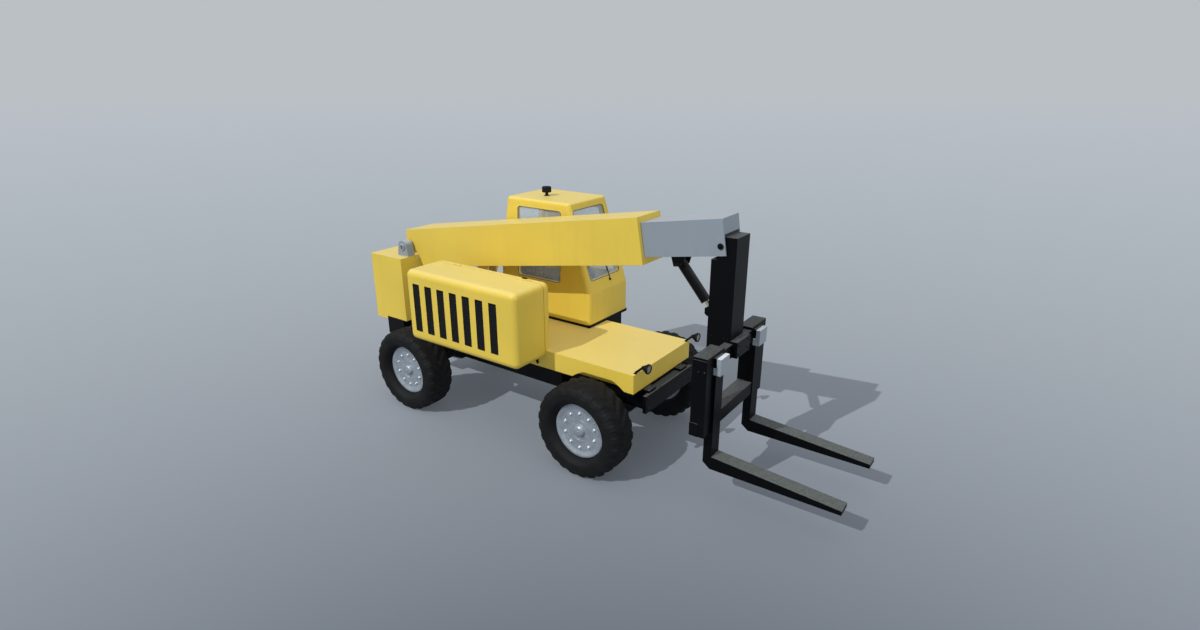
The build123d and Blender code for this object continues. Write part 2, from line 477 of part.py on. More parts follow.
column_foot = Vector(COLUMN_FOOT_X, SEAT_Y, COLUMN_FOOT_Z)
column_top = Vector(WHEEL_X, SEAT_Y, WHEEL_Z)
x0, x1 = COLUMN_FOOT_X, CAB_FRONT_X - CAB_WALL - 10
console = across([(x0, CAB_FLOOR_Z), (x1, CAB_FLOOR_Z), (x1, COLUMN_FOOT_Z - 40),
                  (x1 - 35, COLUMN_FOOT_Z + 50), (x0 - 30, COLUMN_FOOT_Z + 20)], y0, y1 - 20)
console += rod(column_foot, column_top, 22)
steering_wheel = Plane(origin=column_top, z_dir=column_top - column_foot)
console += steering_wheel * (Cylinder(WHEEL_R + GRIP_R, 22) - Cylinder(WHEEL_R - GRIP_R, 24))
console += steering_wheel * Box(2 * (WHEEL_R - 5), 24, 12)
parts["steering_console"] = console

# ---- lights ---------------------------------------------------------------------------------
beacon = [(0, 0), (20, 0), (20, 42), (BEACON_R - 6, 42), (BEACON_R, 50), (BEACON_R - 4, 110),
          (0, 110)]                  # radius, height over the roof
parts["beacon"] = spun(beacon, (*BEACON_XY, CAB_TOP_Z), (0, 0, 1))

# radius, distance: a cone that opens forwards to a lens set back in its rim
LAMP = [(0, 0), (16, 0), (46, 54), (48, 60), (48, 74), (43, 74), (41, 66), (0, 66)]
lamps = Part()
for y in (-LAMP_Y, LAMP_Y):
    back = (DECK_FRONT + 18, y + 93, DECK_Z1 + 38)
    lamps += block(DECK_FRONT - 30, DECK_FRONT, y - 12, y + 12, DECK_Z1, DECK_Z1 + 6)
    lamps += rod((DECK_FRONT - 12, y, DECK_Z1 + 9), (back[0] + 6, back[1], back[2]), 8)
    lamps += spun(LAMP, back, (1, 0, 0))
parts["work_lamps"] = lamps

# ---- engine bay -----------------------------------------------------------------------------
HX0, HX1, HY0, HY1, HZ0, HZ1 = HOOD
hood = fillet(block(*HOOD).edges(), HOOD_ROUND)
hollow = block(HX0 + HOOD_WALL, HX1 - HOOD_WALL, HY0 + HOOD_WALL, HY1 - HOOD_WALL,
               HZ0 + HOOD_WALL, HZ1 - HOOD_WALL)
# the cut corners of the hollow stay one wall inside the round corners of the skin
hollow = chamfer(hollow.edges(), 2 * ((3**0.5 - 1) * HOOD_ROUND + HOOD_WALL) / 3**0.5 - 2 * HOOD_WALL)
hood -= hollow
hood -= block(HX0 + 75, HX1 - 75, HY0 + 75, HY1 - 75, HZ0 - 1, HZ0 + HOOD_WALL + 1)
frame_y = HOOD_SEAM_Y + MOVE / 2
deck_notch = block(DECK_REAR - 5, FAR, frame_y, FAR, 0, DECK_Z1)
tray = block(HX0 + 90, HX1 - 90, HY0 + 90, -DECK_HALF, HZ0 + 22, HZ0 + 42)
sill = block(HX0 + 30, HX1 - 5, frame_y, -DECK_HALF, HZ0 + 22, DECK_Z1)
hood_frame = (hood & block(-FAR, FAR, frame_y, FAR, 0, FAR)) - deck_notch + tray + sill
lid = hood & block(-FAR, FAR, -FAR, frame_y - MOVE, 0, FAR)
for n in range(SLOT_COUNT):
    x = SLOT_X0 + n * SLOT_PITCH
    lid -= block(x, x + SLOT_WIDTH, HY0 - 5, HY0 + HOOD_WALL + 5, SLOT_Z0, SLOT_Z1)
for x in (HX0 + 255, HX1 - 340):
    for x0, y0 in ((x, HOOD_SEAM_Y - HINGE_LEAF), (x + HINGE, HOOD_SEAM_Y)):
        x1 = x0 + HINGE - SLIDE
        leaf = rod((x0 + SLIDE, HOOD_SEAM_Y, HZ1 + 6), (x1, HOOD_SEAM_Y, HZ1 + 6), 6)
        leaf += block(x0 + SLIDE, x1, y0, y0 + HINGE_LEAF, HZ1, HZ1 + 4)
        if y0 < HOOD_SEAM_Y:
            lid += leaf
        else:
            hood_frame += leaf
parts["hood_frame"], parts["engine_hood"] = hood_frame, lid
grille_y = HY0 + HOOD_WALL
parts["hood_grille"] = block(SLOT_X0 - 29, SLOT_X0 + (SLOT_COUNT - 1) * SLOT_PITCH + SLOT_WIDTH + 29,
                             grille_y, grille_y + 8, SLOT_Z0 - 35, SLOT_Z1 + 33)
parts["engine_block"] = block(HX0 + 195, HX1 - 300, HY0 + 110, HOOD_SEAM_Y - 33, HZ0 + 42, HZ1 - 169)

# ---- write ----------------------------------------------------------------------------------
os.makedirs("parts", exist_ok=True)
for name, shape in parts.items():
    shape.label = name
    export_step(shape, f"parts/{name}.step")
print(len(parts), "parts")
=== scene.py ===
"""The looks of a telehandler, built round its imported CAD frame. Metres, +X forwards, +Y left, +Z up.

Surfaces are grids of points that a Mould joins into pieces, and finishes are node trees written as sums.
Each sub-part has a function, and the list at the end calls them in turn."""
import json
from math import cos, pi, radians, sin, tan

import bmesh
import bpy
import numpy as np
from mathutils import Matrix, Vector


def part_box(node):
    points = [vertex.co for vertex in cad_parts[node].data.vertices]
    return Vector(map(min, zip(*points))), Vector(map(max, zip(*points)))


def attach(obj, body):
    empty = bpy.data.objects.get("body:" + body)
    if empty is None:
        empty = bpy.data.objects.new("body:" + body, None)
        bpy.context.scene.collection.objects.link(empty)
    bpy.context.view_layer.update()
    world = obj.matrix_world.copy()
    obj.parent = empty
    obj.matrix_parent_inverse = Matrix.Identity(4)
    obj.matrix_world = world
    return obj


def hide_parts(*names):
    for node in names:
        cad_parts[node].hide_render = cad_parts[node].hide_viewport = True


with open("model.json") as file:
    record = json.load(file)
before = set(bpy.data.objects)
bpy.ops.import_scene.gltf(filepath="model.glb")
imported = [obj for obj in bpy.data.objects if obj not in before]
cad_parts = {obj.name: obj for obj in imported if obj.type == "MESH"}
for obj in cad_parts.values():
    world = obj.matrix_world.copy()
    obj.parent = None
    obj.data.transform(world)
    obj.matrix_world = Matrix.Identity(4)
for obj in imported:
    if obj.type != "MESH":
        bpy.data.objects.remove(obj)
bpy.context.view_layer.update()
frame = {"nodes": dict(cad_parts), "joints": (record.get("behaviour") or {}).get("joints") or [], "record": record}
scene = bpy.context.scene
joints = {j["name"]: j for j in frame["joints"]}

# ---- places that the looks share with the frame -----------------------------------------------
X, Y, Z = np.eye(3)
SIDES = (-1, 1)
CORNERS = [f"{end}_{side}" for end in ("front", "rear") for side in ("left", "right")]
TYRE_R = 0.505
CAB_LEFT, CAB_FRONT, CAB_REAR = 1.030, -0.125, -1.503
CAB_FLOOR, CAB_TOP = 1.148, 2.523
SEAT_Y = 0.640
REAR_FACE = -3.093
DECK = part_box("front_deck")
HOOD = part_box("engine_hood")


# ---- surfaces -----------------------------------------------------------------------------------
def smooth(lo, hi, x):
    """0 below lo, 1 above hi, and 3t^2 - 2t^3 between."""
    t = np.clip((x - lo) / (hi - lo), 0, 1)
    return t * t * (3 - 2 * t)


def curve(points, count):
    """A smooth line through points: each span is a Catmull-Rom cubic, sampled evenly."""
    p = np.asarray(points, float)
    p = np.vstack([2 * p[0] - p[1], p, 2 * p[-1] - p[-2]])
    t = np.linspace(0, len(p) - 3 - 1e-9, count)
    i = t.astype(int)
    t = (t - i)[:, None]
    a, b, c, d = p[i], p[i + 1], p[i + 2], p[i + 3]
    square, cube = 2 * a - 5 * b + 4 * c - d, 3 * b - a - 3 * c + d
    return 0.5 * (2 * b + (c - a) * t + square * t**2 + cube * t**3)


def ring(count):
    """Angles spaced evenly over a full turn."""
    return 2 * pi * np.arange(count) / count


def rounded(points, radius, steps=5):
    """A closed outline with its corners drawn round: each corner becomes the parabola
    (1-t)^2 a + 2t(1-t) corner + t^2 b between the places a and b, one radius away along its edges."""
    p = np.asarray(points, float)
    ways = [q - p for q in (np.roll(p, 1, 0), np.roll(p, -1, 0))]
    a, b = (p + radius * w / np.linalg.norm(w, axis=1)[:, None] for w in ways)
    t = np.linspace(0, 1, steps)[None, :, None]
    bend = (1 - t) ** 2 * a[:, None] + 2 * t * (1 - t) * p[:, None] + t**2 * b[:, None]
    return bend.reshape(-1, p.shape[1])


def oblong(x, y, width, height, radius=0.04, steps=6):
    """A rounded rectangle about x, y, anticlockwise."""
    w, h = width / 2, height / 2
    return rounded([(x - w, y - h), (x + w, y - h), (x + w, y + h), (x - w, y + h)], radius, steps)


def button(radius, height, lean=0.004):
    """The profile of a flat cap, for turning: its top edge is cut by lean across and 3 mm down."""
    return [(0, height), (radius - lean, height), (radius, height - 0.003), (radius, 0), (0, 0)]


def dome(radius, height, lean=0.003):
    """The profile of a low stud, for turning: nearly flat on top, with its flank leaning in by lean."""
    return [(0, height), (radius - lean, height - 0.0002), (radius, 0), (0, 0)]


def basis(axis):
    """Two directions square to an axis, which with it make a right-handed set."""
    axis = np.asarray(axis, float) / np.linalg.norm(axis)
    first = np.cross(np.eye(3)[np.argmin(abs(axis))], axis)
    first /= np.linalg.norm(first)
    return first, np.cross(axis, first), axis


class Mould:
    """Collects surfaces given as grids of points, and turns them into one piece."""

    def __init__(self):
        self.points, self.faces, self.count = [], [], 0

    def grid(self, p, round_u=False, round_v=False):
        """A grid of points p[u, v] becomes quads between neighbours; a round direction closes on itself."""
        p = np.asarray(p, float)
        nu, nv = p.shape[:2]
        rows, columns = np.arange(nu if round_u else nu - 1), np.arange(nv if round_v else nv - 1)
        u, v = np.meshgrid(rows, columns, indexing="ij")
        next_u, next_v = (u + 1) % nu, (v + 1) % nv
        quads = np.stack([u * nv + v, next_u * nv + v, next_u * nv + next_v, u * nv + next_v], -1)
        self.points.append(p.reshape(-1, 3))
        self.faces += (quads.reshape(-1, 4) + self.count).tolist()
        self.count += nu * nv
        return self

    def turned(self, profile, centre, axis=Y, sides=64):
        """A profile of (radius, distance along the axis) carried round the axis through centre."""
        r, h = np.asarray(profile, float).T
        first, second, axis = basis(axis)
        a = ring(sides)[:, None, None]
        outwards = np.cos(a) * first + np.sin(a) * second
        places = np.asarray(centre, float) + r[:, None] * outwards + h[:, None] * axis
        return self.grid(places, round_u=True)

    def tube(self, path, radius, sides=12, closed=False, flat=1.0):
        """A circle carried along a path. The ring's first direction is the axis that the path turns towards
        least, made square to the path; its second is pressed to a share, flat, of its width."""
        p = np.asarray(path, float)
        way = np.roll(p, -1, 0) - np.roll(p, 1, 0) if closed else np.gradient(p, axis=0)
        way /= np.linalg.norm(way, axis=1)[:, None]
        least = np.argmin(abs(way).max(0))
        side = np.eye(3)[least] - way * way[:, [least]]
        side /= np.linalg.norm(side, axis=1)[:, None]
        other = np.cross(way, side) * flat
        a = ring(sides)[None, :, None]
        r = np.broadcast_to(np.asarray(radius, float), len(p))[:, None, None]
        rings = p[:, None] + r * (side[:, None] * np.cos(a) + other[:, None] * np.sin(a))
        if closed:
            return self.grid(rings, round_u=True, round_v=True)
        ends = np.repeat(p[[0, -1]][:, None], sides, 1)
        return self.grid(np.concatenate([ends[:1], rings, ends[1:]]), round_v=True)

    def hoop(self, outline, axis, height, radius, sides=8):
        """A bead carried round an outline that lies at a height along X, Y or Z."""
        path = np.insert(outline, "xyz".index(axis), height, axis=1)
        return self.tube(path, radius, sides, closed=True)

    def prism(self, outline, axis, lo, hi, edge=0.003):
        """An outline carried along X, Y or Z from lo to hi. Its ends are drawn in by edge along the
        outline's own normals, and each is closed on its middle."""
        p = np.asarray(outline, float)
        way = np.roll(p, -1, 0) - np.roll(p, 1, 0)
        way /= np.linalg.norm(way, axis=1)[:, None]
        turn = np.sign(np.sum(p[:, 0] * np.roll(p[:, 1], -1) - np.roll(p[:, 0], -1) * p[:, 1]))
        inner = p + turn * edge * np.stack([-way[:, 1], way[:, 0]], -1)
        middle = np.broadcast_to(p.mean(0), p.shape)
        levels = [(lo, middle), (lo, inner), (lo + edge, p), (hi - edge, p), (hi, inner), (hi, middle)]
        rings = np.stack([np.insert(level, "xyz".index(axis), height, axis=1) for height, level in levels])
        return self.grid(rings, round_v=True)

    def block(self, lo, hi, edge=0.003, corner=0.0):
        """A box from corner to corner, with a cut along its edges and its upright corners drawn round."""
        (x0, y0, z0), (x1, y1, z1) = lo, hi
        outline = rounded([(x0, y0), (x1, y0), (x1, y1), (x0, y1)], max(corner, edge), 5 if corner else 2)
        return self.prism(outline, "z", z0, z1, edge)

    def bolt(self, spot, way, size=0.010, washer=True):
        """A hexagon head with a turned top over a washer; spot is on the seat, way points out of it."""
        if washer:
            plate = np.array([(0, 0), (1.25, 0), (1.25, 0.16), (1.15, 0.24), (0, 0.24)])
            self.turned(size * plate, spot, way, 20)
        head = np.array([(0, 0.2), (1, 0.2), (1, 0.78), (0.86, 0.92), (0, 0.92)])
        return self.turned(size * head, spot, way, 6)

    def weld(self, a, b, size=0.006, pitch=0.009):
        """A bead laid from a to b: its radius is size times 1 + 0.16 cos of the way in pitches, and falls
        off at both ends."""
        a, b = np.asarray(a, float), np.asarray(b, float)
        length = np.linalg.norm(b - a)
        share = np.linspace(0, 1, max(int(length / pitch * 4), 8))
        ripple = 1 + 0.16 * np.cos(2 * pi * share * length / pitch)
        taper = np.sqrt(smooth(0, 0.02, share) * smooth(0, 0.02, 1 - share) + 0.05)
        return self.tube(a + (b - a) * share[:, None], size * ripple * taper, 8)

    def piece(self, name, body, slot, finish, replaces=(), sharp=35):
        """Joins what was collected, closes its seams, points its faces outwards and puts it on a body."""
        mesh = bpy.data.meshes.new(name)
        mesh.from_pydata(np.concatenate(self.points).tolist(), [], self.faces)
        work = bmesh.new()
        work.from_mesh(mesh)
        bmesh.ops.remove_doubles(work, verts=work.verts, dist=2e-5)
        bmesh.ops.dissolve_degenerate(work, edges=work.edges, dist=1e-6)
        bmesh.ops.recalc_face_normals(work, faces=work.faces)
        work.to_mesh(mesh)
        work.free()
        mesh.shade_smooth()
        mesh.set_sharp_from_angle(angle=radians(sharp))
        made = bpy.data.objects.new(name, mesh)
        scene.collection.objects.link(made)
        mesh.materials.append(finish)
        if replaces:
            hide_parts(*replaces)
        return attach(made, body)


# ---- finishes -----------------------------------------------------------------------------------
class Sock:
    """A shader socket that takes part in sums: each sum adds one Math node."""

    def __init__(self, finish, out):
        self.finish, self.out = finish, out

    def sum(self, how, *parts):
        """One Math node on sockets and numbers."""
        return self.finish.add("ShaderNodeMath", {"operation": how}, parts)

    def __add__(self, other):
        return self.sum("ADD", self, other)

    def __sub__(self, other):
        return self.sum("SUBTRACT", self, other)

    def __rsub__(self, other):
        return self.sum("SUBTRACT", other, self)

    def __mul__(self, other):
        return self.sum("MULTIPLY", self, other)

    def __rtruediv__(self, other):
        return self.sum("DIVIDE", other, self)

    __radd__, __rmul__ = __add__, __mul__

    def step(self, lo, hi):
        """0 below lo, 1 above hi, smooth between."""
        smoothly = {"interpolation_type": "SMOOTHSTEP"}
        return self.finish.add("ShaderNodeMapRange", smoothly, (self, lo, hi, 0.0, 1.0))


class Finish:
    """A node material round one Principled shader."""

    def __init__(self, name, **plain):
        self.material = bpy.data.materials.new(name)
        self.material.use_nodes = True
        self.tree = self.material.node_tree
        self.tree.nodes.clear()
        self.shader = self.tree.nodes.new("ShaderNodeBsdfPrincipled")
        self.out = self.tree.nodes.new("ShaderNodeOutputMaterial")
        self.tree.links.new(self.shader.outputs[0], self.out.inputs[0])
        self.set(**plain)

    def set(self, **sockets):
        """Feeds the shader's sockets, named with underscores for spaces."""
        for name, value in sockets.items():
            self.feed(self.shader.inputs[name.replace("_", " ")], value)

    def feed(self, socket, value):
        """Links a socket to another one, or sets it to a colour or a number."""
        if isinstance(value, Sock):
            self.tree.links.new(value.out, socket)
        elif socket.type == "RGBA":
            socket.default_value = (*value[:3], 1.0)
        else:
            socket.default_value = value

    def add(self, kind, settings=(), sockets=(), output=0):
        """One node: its settings first, then its sockets by name or place."""
        node = self.tree.nodes.new(kind)
        for name, value in dict(settings).items():
            setattr(node, name, value)
        for name, value in sockets.items() if isinstance(sockets, dict) else enumerate(sockets):
            self.feed(node.inputs[name], value)
        return Sock(self, node.outputs[output])

    def place(self, stretch=(1, 1, 1), shift=(0, 0, 0)):
        """The object's own coordinates, stretched and then shifted."""
        spot = self.add("ShaderNodeTexCoord", output=3)
        return self.add("ShaderNodeMapping", {}, {"Vector": spot, "Scale": stretch, "Location": shift})

    def noise(self, scale, detail=4.0, stretch=(1, 1, 1), rough=0.55):
        """Clouds from 0 to 1 over the object's own coordinates."""
        sockets = {"Vector": self.place(stretch), "Scale": scale, "Detail": detail, "Roughness": rough}
        return self.add("ShaderNodeTexNoise", {}, sockets)

    def waves(self, way, scale):
        """Bands from 0 to 1 that follow each other along an axis."""
        sockets = {"Vector": self.place(), "Scale": scale}
        return self.add("ShaderNodeTexWave", {"bands_direction": way}, sockets)

    def part(self, vector, which):
        """One component of a vector."""
        apart = self.add("ShaderNodeSeparateXYZ", {}, (vector,))
        return Sock(self, apart.out.node.outputs[which])

    def facing(self):
        """The face's own direction."""
        return self.add("ShaderNodeNewGeometry", output=1)

    def mix(self, a, b, share):
        """Colour a with a share of it replaced by b."""
        return self.add("ShaderNodeMix", {"data_type": "RGBA"}, {0: share, 6: a, 7: b}, output=2)

    def bump(self, height, depth, strength=1.0, normal=None):
        """The face's direction, tilted as if height, times depth in metres, stood on it."""
        sockets = {"Height": height, "Distance": depth, "Strength": strength}
        if normal:
            sockets["Normal"] = normal
        return self.add("ShaderNodeBump", {}, sockets)

    def edges(self, radius):
        """Direction rounded over the edges, and how far it leans from the face: 0 on flats, 1 on edges."""
        soft = self.add("ShaderNodeBevel", {"samples": 4}, {"Radius": radius})
        pair = (soft, self.facing())
        along = self.add("ShaderNodeVectorMath", {"operation": "DOT_PRODUCT"}, pair, output=1)
        return soft, (1 - along).step(0.02, 0.3)


def srgb(*levels):
    """Screen levels from 0 to 255 as linear light."""
    c = np.array(levels) / 255
    return tuple(np.where(c < 0.04045, c / 12.92, ((c + 0.055) / 1.055) ** 2.4))


def shade(colour, by):
    """A colour with each of its parts times by."""
    return tuple(v * by for v in colour)


def paint(name, colour, edge_wear_and_highlight, top, lift, rough=0.42, coat=0.1, dust=0.0, rub=0.4, speckle=0.0, sheen=0.3):
    """Sprayed paint: slight mottle, faint streaks down the sides, a painted sky reflection on faces that look up,
    dust that gathers low down, edges lightened partly by rubbed wear and partly as a painted highlight,
    fine scratches and an orange peel."""
    f = Finish(name, Coat_Weight=coat, Coat_Roughness=0.22, Specular_IOR_Level=sheen)
    soft, rim = f.edges(0.004)
    mottle, fine = f.noise(1.3, 3), f.noise(45, 4)
    scratch = f.noise(14, 6, (1, 1, 9), 0.7).step(0.66, 0.74)
    up = f.part(f.facing(), 2).step(0.35, 0.95)
    low = (1 - f.part(f.place(), 2).step(0.2, 1.4)) * f.noise(5, 6).step(0.45, 0.8) * dust
    tone = f.mix(colour, shade(colour, 0.93), mottle.step(0.3, 0.7))
    streak = f.noise(7, 5, (1, 1, 0.1)).step(0.5, 0.75) * (1 - up)
    tone = f.mix(tone, shade(colour, 0.84), streak * 0.3)
    # faces that look up are mixed towards top: a painted sky reflection, patchy where speckle is high
    painted_sky_sheen = lift * (1 - speckle) + fine.step(0.35, 0.65) * (lift * speckle)
    tone = f.mix(tone, top, up * painted_sky_sheen)
    tone = f.mix(tone, srgb(120, 114, 102), low)
    # edges mixed towards a lighter colour: partly rubbed wear, partly a painted highlight
    rubbed = rub * 0.5 + f.noise(11, 4).step(0.45, 0.65) * (rub * 0.5)
    tone = f.mix(tone, edge_wear_and_highlight, rim * rubbed)
    tone = f.mix(tone, shade(colour, 0.8), scratch * 0.12)
    f.set(Base_Color=tone, Roughness=fine * 0.14 + low * 0.3 + up * 0.05 + (rough - 0.07),
          Normal=f.bump(f.noise(230, 2), 0.0004, 0.2, soft))
    return f.material


def bare_metal(name, colour, rough=0.35, metallic=1.0, painted_edge_glint=0.5):
    """Metal with a fine grain, smears, and a painted glint that brightens its edges."""
    f = Finish(name)
    soft, rim = f.edges(0.002)
    lines, smear = f.noise(60, 4), f.noise(7, 4)
    # edges mixed towards near white: a painted highlight
    tone = f.mix(f.mix(colour, shade(colour, 0.78), smear), srgb(240, 243, 246), rim * painted_edge_glint)
    f.set(Base_Color=tone, Metallic=smear * 0.1 + (metallic - 0.1),
          Roughness=lines * 0.2 + smear * 0.12 + (rough - 0.12), Normal=f.bump(lines, 0.0003, 0.2, soft))
    return f.material


def galvanised(name, colour):
    """Zinc-coated plate: patches of crystals that differ in brightness, cloudy smears, and edges brightened as a
    painted highlight.
    """
    f = Finish(name, Specular_IOR_Level=0.6)
    soft, rim = f.edges(0.003)
    crystal = f.add("ShaderNodeTexVoronoi", {}, {"Vector": f.place(), "Scale": 48.0}, output=1)
    crystal = f.part(crystal, 0)
    cloud, fine = f.noise(9, 5), f.noise(120, 3)
    tone = f.mix(shade(colour, 0.74), shade(colour, 1.22), crystal * 0.5 + cloud.step(0.3, 0.7) * 0.5)
    # edges mixed towards near white: a painted highlight
    tone = f.mix(tone, srgb(232, 238, 243), rim * 0.65)
    f.set(Base_Color=tone, Metallic=0.35 + crystal * 0.2, Roughness=crystal * 0.14 + fine * 0.1 + 0.3,
          Normal=f.bump(fine + crystal * 0.6, 0.0004, 0.35, soft))
    return f.material


def tyre_rubber():
    """Rubber: near black, greyer on faces that look up as a painted sky reflection, dusty in patches, with a fine
    grain.
    """
    f = Finish("tyre_rubber", Specular_IOR_Level=0.22)
    grain, patch = f.noise(170, 3), f.noise(6, 6)
    up = f.part(f.facing(), 2).step(0.2, 1.0)
    # greyer in dusty patches, and on faces that look up as a painted sky reflection
    tone = f.mix(srgb(11, 12, 14), srgb(27, 28, 30), patch.step(0.4, 0.75) * 0.5 + up * 0.35)
    f.set(Base_Color=tone, Roughness=grain * 0.14 + patch * 0.1 + 0.6, Normal=f.bump(grain, 0.0006, 0.35))
    return f.material


def window_glass():
    """Safety glass: mostly clear, with a pale blue-white veil that is partly a tint and partly a painted sky
    reflection, and wiped smears.
    """
    f = Finish("window_glass", Specular_IOR_Level=0.5, IOR=1.45)
    smear = f.noise(2.6, 4, (1, 1, 0.4))
    # the pale veil: a faint tint and a painted sky reflection, lighter where smeared
    f.set(Base_Color=f.mix(srgb(196, 214, 230), srgb(222, 232, 240), smear.step(0.3, 0.8)),
          Roughness=smear * 0.06 + 0.03, Alpha=smear * 0.08 + 0.18)
    return f.material


def lamp_glass(name, colour):
    """Moulded lens: fluted glass, lighter along its flutes and in patches as a painted reflection of a bright
    bowl, with the flutes as a bump.
    """
    f = Finish(name, Specular_IOR_Level=0.5, Coat_Weight=0.2, Coat_Roughness=0.1)
    flute, glow = f.waves("Y", 60.0), f.noise(14, 3)
    # lighter along the flutes and in patches: a painted reflection of a bright bowl behind the lens
    f.set(Base_Color=f.mix(colour, shade(colour, 1.35), flute * 0.5 + glow * 0.5),
          Roughness=glow * 0.1 + 0.3, Normal=f.bump(flute, 0.001, 0.5))
    return f.material


def plastic(name, colour, rough=0.55, rubbed=0.3):
    """Moulded plastic with a fine leather-like grain and edges polished by use."""
    f = Finish(name, Specular_IOR_Level=0.18)
    soft, rim = f.edges(0.002)
    grain, blotch = f.noise(420, 3), f.noise(6, 4)
    tone = f.mix(colour, shade(colour, 1.8), blotch * 0.6)
    f.set(Base_Color=f.mix(tone, srgb(70, 72, 74), rim * rubbed),
          Roughness=grain * 0.15 + blotch * 0.06 + (rough - 0.1), Normal=f.bump(grain, 0.0004, 0.5, soft))
    return f.material


def woven_seat():
    """Seat cloth: threads that cross along all three axes, faded in patches."""
    f = Finish("seat_fabric", Specular_IOR_Level=0.2, Sheen_Weight=0.3)
    weave = (f.waves("X", 160.0) + f.waves("Y", 160.0) + f.waves("Z", 160.0)) * 0.33
    fade = f.noise(9, 4)
    f.set(Base_Color=f.mix(srgb(30, 33, 38), srgb(74, 80, 88), weave * 0.6 + fade.step(0.4, 0.8) * 0.3),
          Roughness=fade * 0.1 + 0.8, Normal=f.bump(weave + fade, 0.0007, 0.6))
    return f.material


# top is the colour of a painted sky reflection on faces that look up, and lift is its strength; the edge colour is
# partly rubbed wear and partly a painted highlight
YELLOW = paint("yellow_paint", srgb(224, 196, 78), edge_wear_and_highlight=srgb(238, 220, 130), top=srgb(232, 214, 146),
               lift=0.5, coat=0.08, dust=0.06, rub=0.3)
BLACK = paint("black_paint", srgb(5, 7, 10), edge_wear_and_highlight=srgb(50, 54, 58), top=srgb(100, 103, 104),
              lift=0.75, coat=0.0, dust=0.03, rub=0.3, speckle=0.35, sheen=0.12)
BLUE_GREY = paint("blue_grey_paint", srgb(138, 149, 160), edge_wear_and_highlight=srgb(196, 202, 206), top=srgb(184, 189, 196),
                  lift=0.6, rough=0.4, dust=0.05)
CAST = paint("cast_black", srgb(9, 10, 12), edge_wear_and_highlight=srgb(52, 53, 54), top=srgb(66, 68, 70),
             lift=0.5, rough=0.55, coat=0.0, dust=0.12, speckle=0.5, sheen=0.15)
FORK = paint("fork_steel", srgb(4, 5, 7), edge_wear_and_highlight=srgb(62, 66, 68), top=srgb(102, 107, 106),
             lift=0.9, coat=0.0, rub=0.3, speckle=0.3, sheen=0.12)
BRIGHT = paint("bright_steel", srgb(150, 160, 170), edge_wear_and_highlight=srgb(240, 244, 248), top=srgb(236, 240, 244),
               lift=0.9, rough=0.36, rub=0.6)
CHROME = bare_metal("chromed_rod", srgb(214, 216, 220), 0.16)
RIM = galvanised("rim_grey", srgb(156, 166, 176))
STUD = bare_metal("wheel_stud", srgb(206, 214, 222), 0.34, metallic=0.6, painted_edge_glint=0.6)
TYRE, GLASS, SEAT = tyre_rubber(), window_glass(), woven_seat()
LENS = lamp_glass("lamp_lens", srgb(128, 130, 130))
TAIL = lamp_glass("tail_lens", srgb(126, 18, 16))
PLASTIC = plastic("black_plastic", srgb(9, 10, 12))
SEAL = plastic("rubber_seal", srgb(8, 9, 10), 0.7, 0.1)
LINING = plastic("cab_lining", srgb(66, 76, 88), 0.7, 0.1)
GASKET = plastic("window_gasket", srgb(92, 90, 82), 0.7, 0.1)

FINISH = {"yellow_paint": YELLOW, "black_paint": BLACK, "blue_grey_paint": BLUE_GREY, "fork_steel": FORK,
          "bright_steel": BRIGHT, "chromed_rod": CHROME, "rim_grey": RIM, "cast_black": CAST,
          "tyre_rubber": TYRE, "window_glass": GLASS, "seat_fabric": SEAT, "black_plastic": PLASTIC}


def finish_solids():
    """Gives each solid of the frame the finish of its own slot."""
    for part in frame["record"]["subparts"]:
        for slot in frame["nodes"][part["node"]].material_slots:
            slot.material = FINISH[part["material_slot"]]


# ---- wheels -------------------------------------------------------------------------------------
LUGS, LUG_SLANT = 24, radians(38)    # lugs on each half of a tread, and how far they are swept back
LUG_FLANK = 0.1                      # the share of the lugs' pitch that each flank rises over
TREAD_EDGE = 0.128                   # where the sweep ends, from the tyre's middle
HALVES_MEET = 0.006                  # half the width over which one half's lugs pass into the other's
DISC_FACE = 0.886                    # the disc's outer face, from the machine's middle

# distance from the tyre's middle and radius, from the tread to the bead
CARCASS = [(0.0, 0.4925), (0.060, 0.4915), (0.120, 0.4885), (0.145, 0.482), (0.163, 0.469), (0.176, 0.447),
           (0.1835, 0.418), (0.185, 0.395), (0.182, 0.368), (0.172, 0.342), (0.152, 0.320), (0.125, 0.307),
           (0.1035, 0.3015), (0.0912, 0.2965), (0.0907, 0.2825)]
# the same over the top of a lug
LUG_TOP = [(0, 0.505), (0.06, 0.504), (0.128, 0.501), (0.15, 0.492), (0.168, 0.474), (0.178, 0.450),
           (0.185, 0.40)]
# radius, and distance from the machine's middle: the face of the disc from the hub cap to the rim's edge,
# then over the edge, along the seat under the tyre, and back behind the disc
DISH = [(0.0, 0.9235), (0.030, 0.9232), (0.042, 0.9215), (0.049, 0.918), (0.058, 0.909), (0.062, 0.903),
        (0.0635, 0.892), (0.067, 0.8875), (0.072, 0.886), (0.110, 0.886), (0.1115, 0.8875), (0.119, 0.8875),
        (0.1205, 0.886), (0.224, 0.886), (0.230, 0.8868), (0.238, 0.8885), (0.262, 0.9005), (0.270, 0.9032),
        (0.280, 0.9048), (0.2885, 0.9046), (0.2925, 0.9025), (0.2938, 0.8990), (0.2938, 0.8932),
        (0.2800, 0.8928), (0.2800, 0.860), (0.272, 0.845), (0.272, 0.750), (0.2800, 0.735), (0.2800, 0.7112),
        (0.2938, 0.7108), (0.2938, 0.7002), (0.2880, 0.6992), (0.2640, 0.6996), (0.2620, 0.702),
        (0.262, 0.868), (0.259, 0.870), (0.099, 0.870), (0.098, 0.868), (0.098, 0.762), (0.094, 0.760),
        (0.0605, 0.760), (0.0605, 0.852), (0.0, 0.852)]
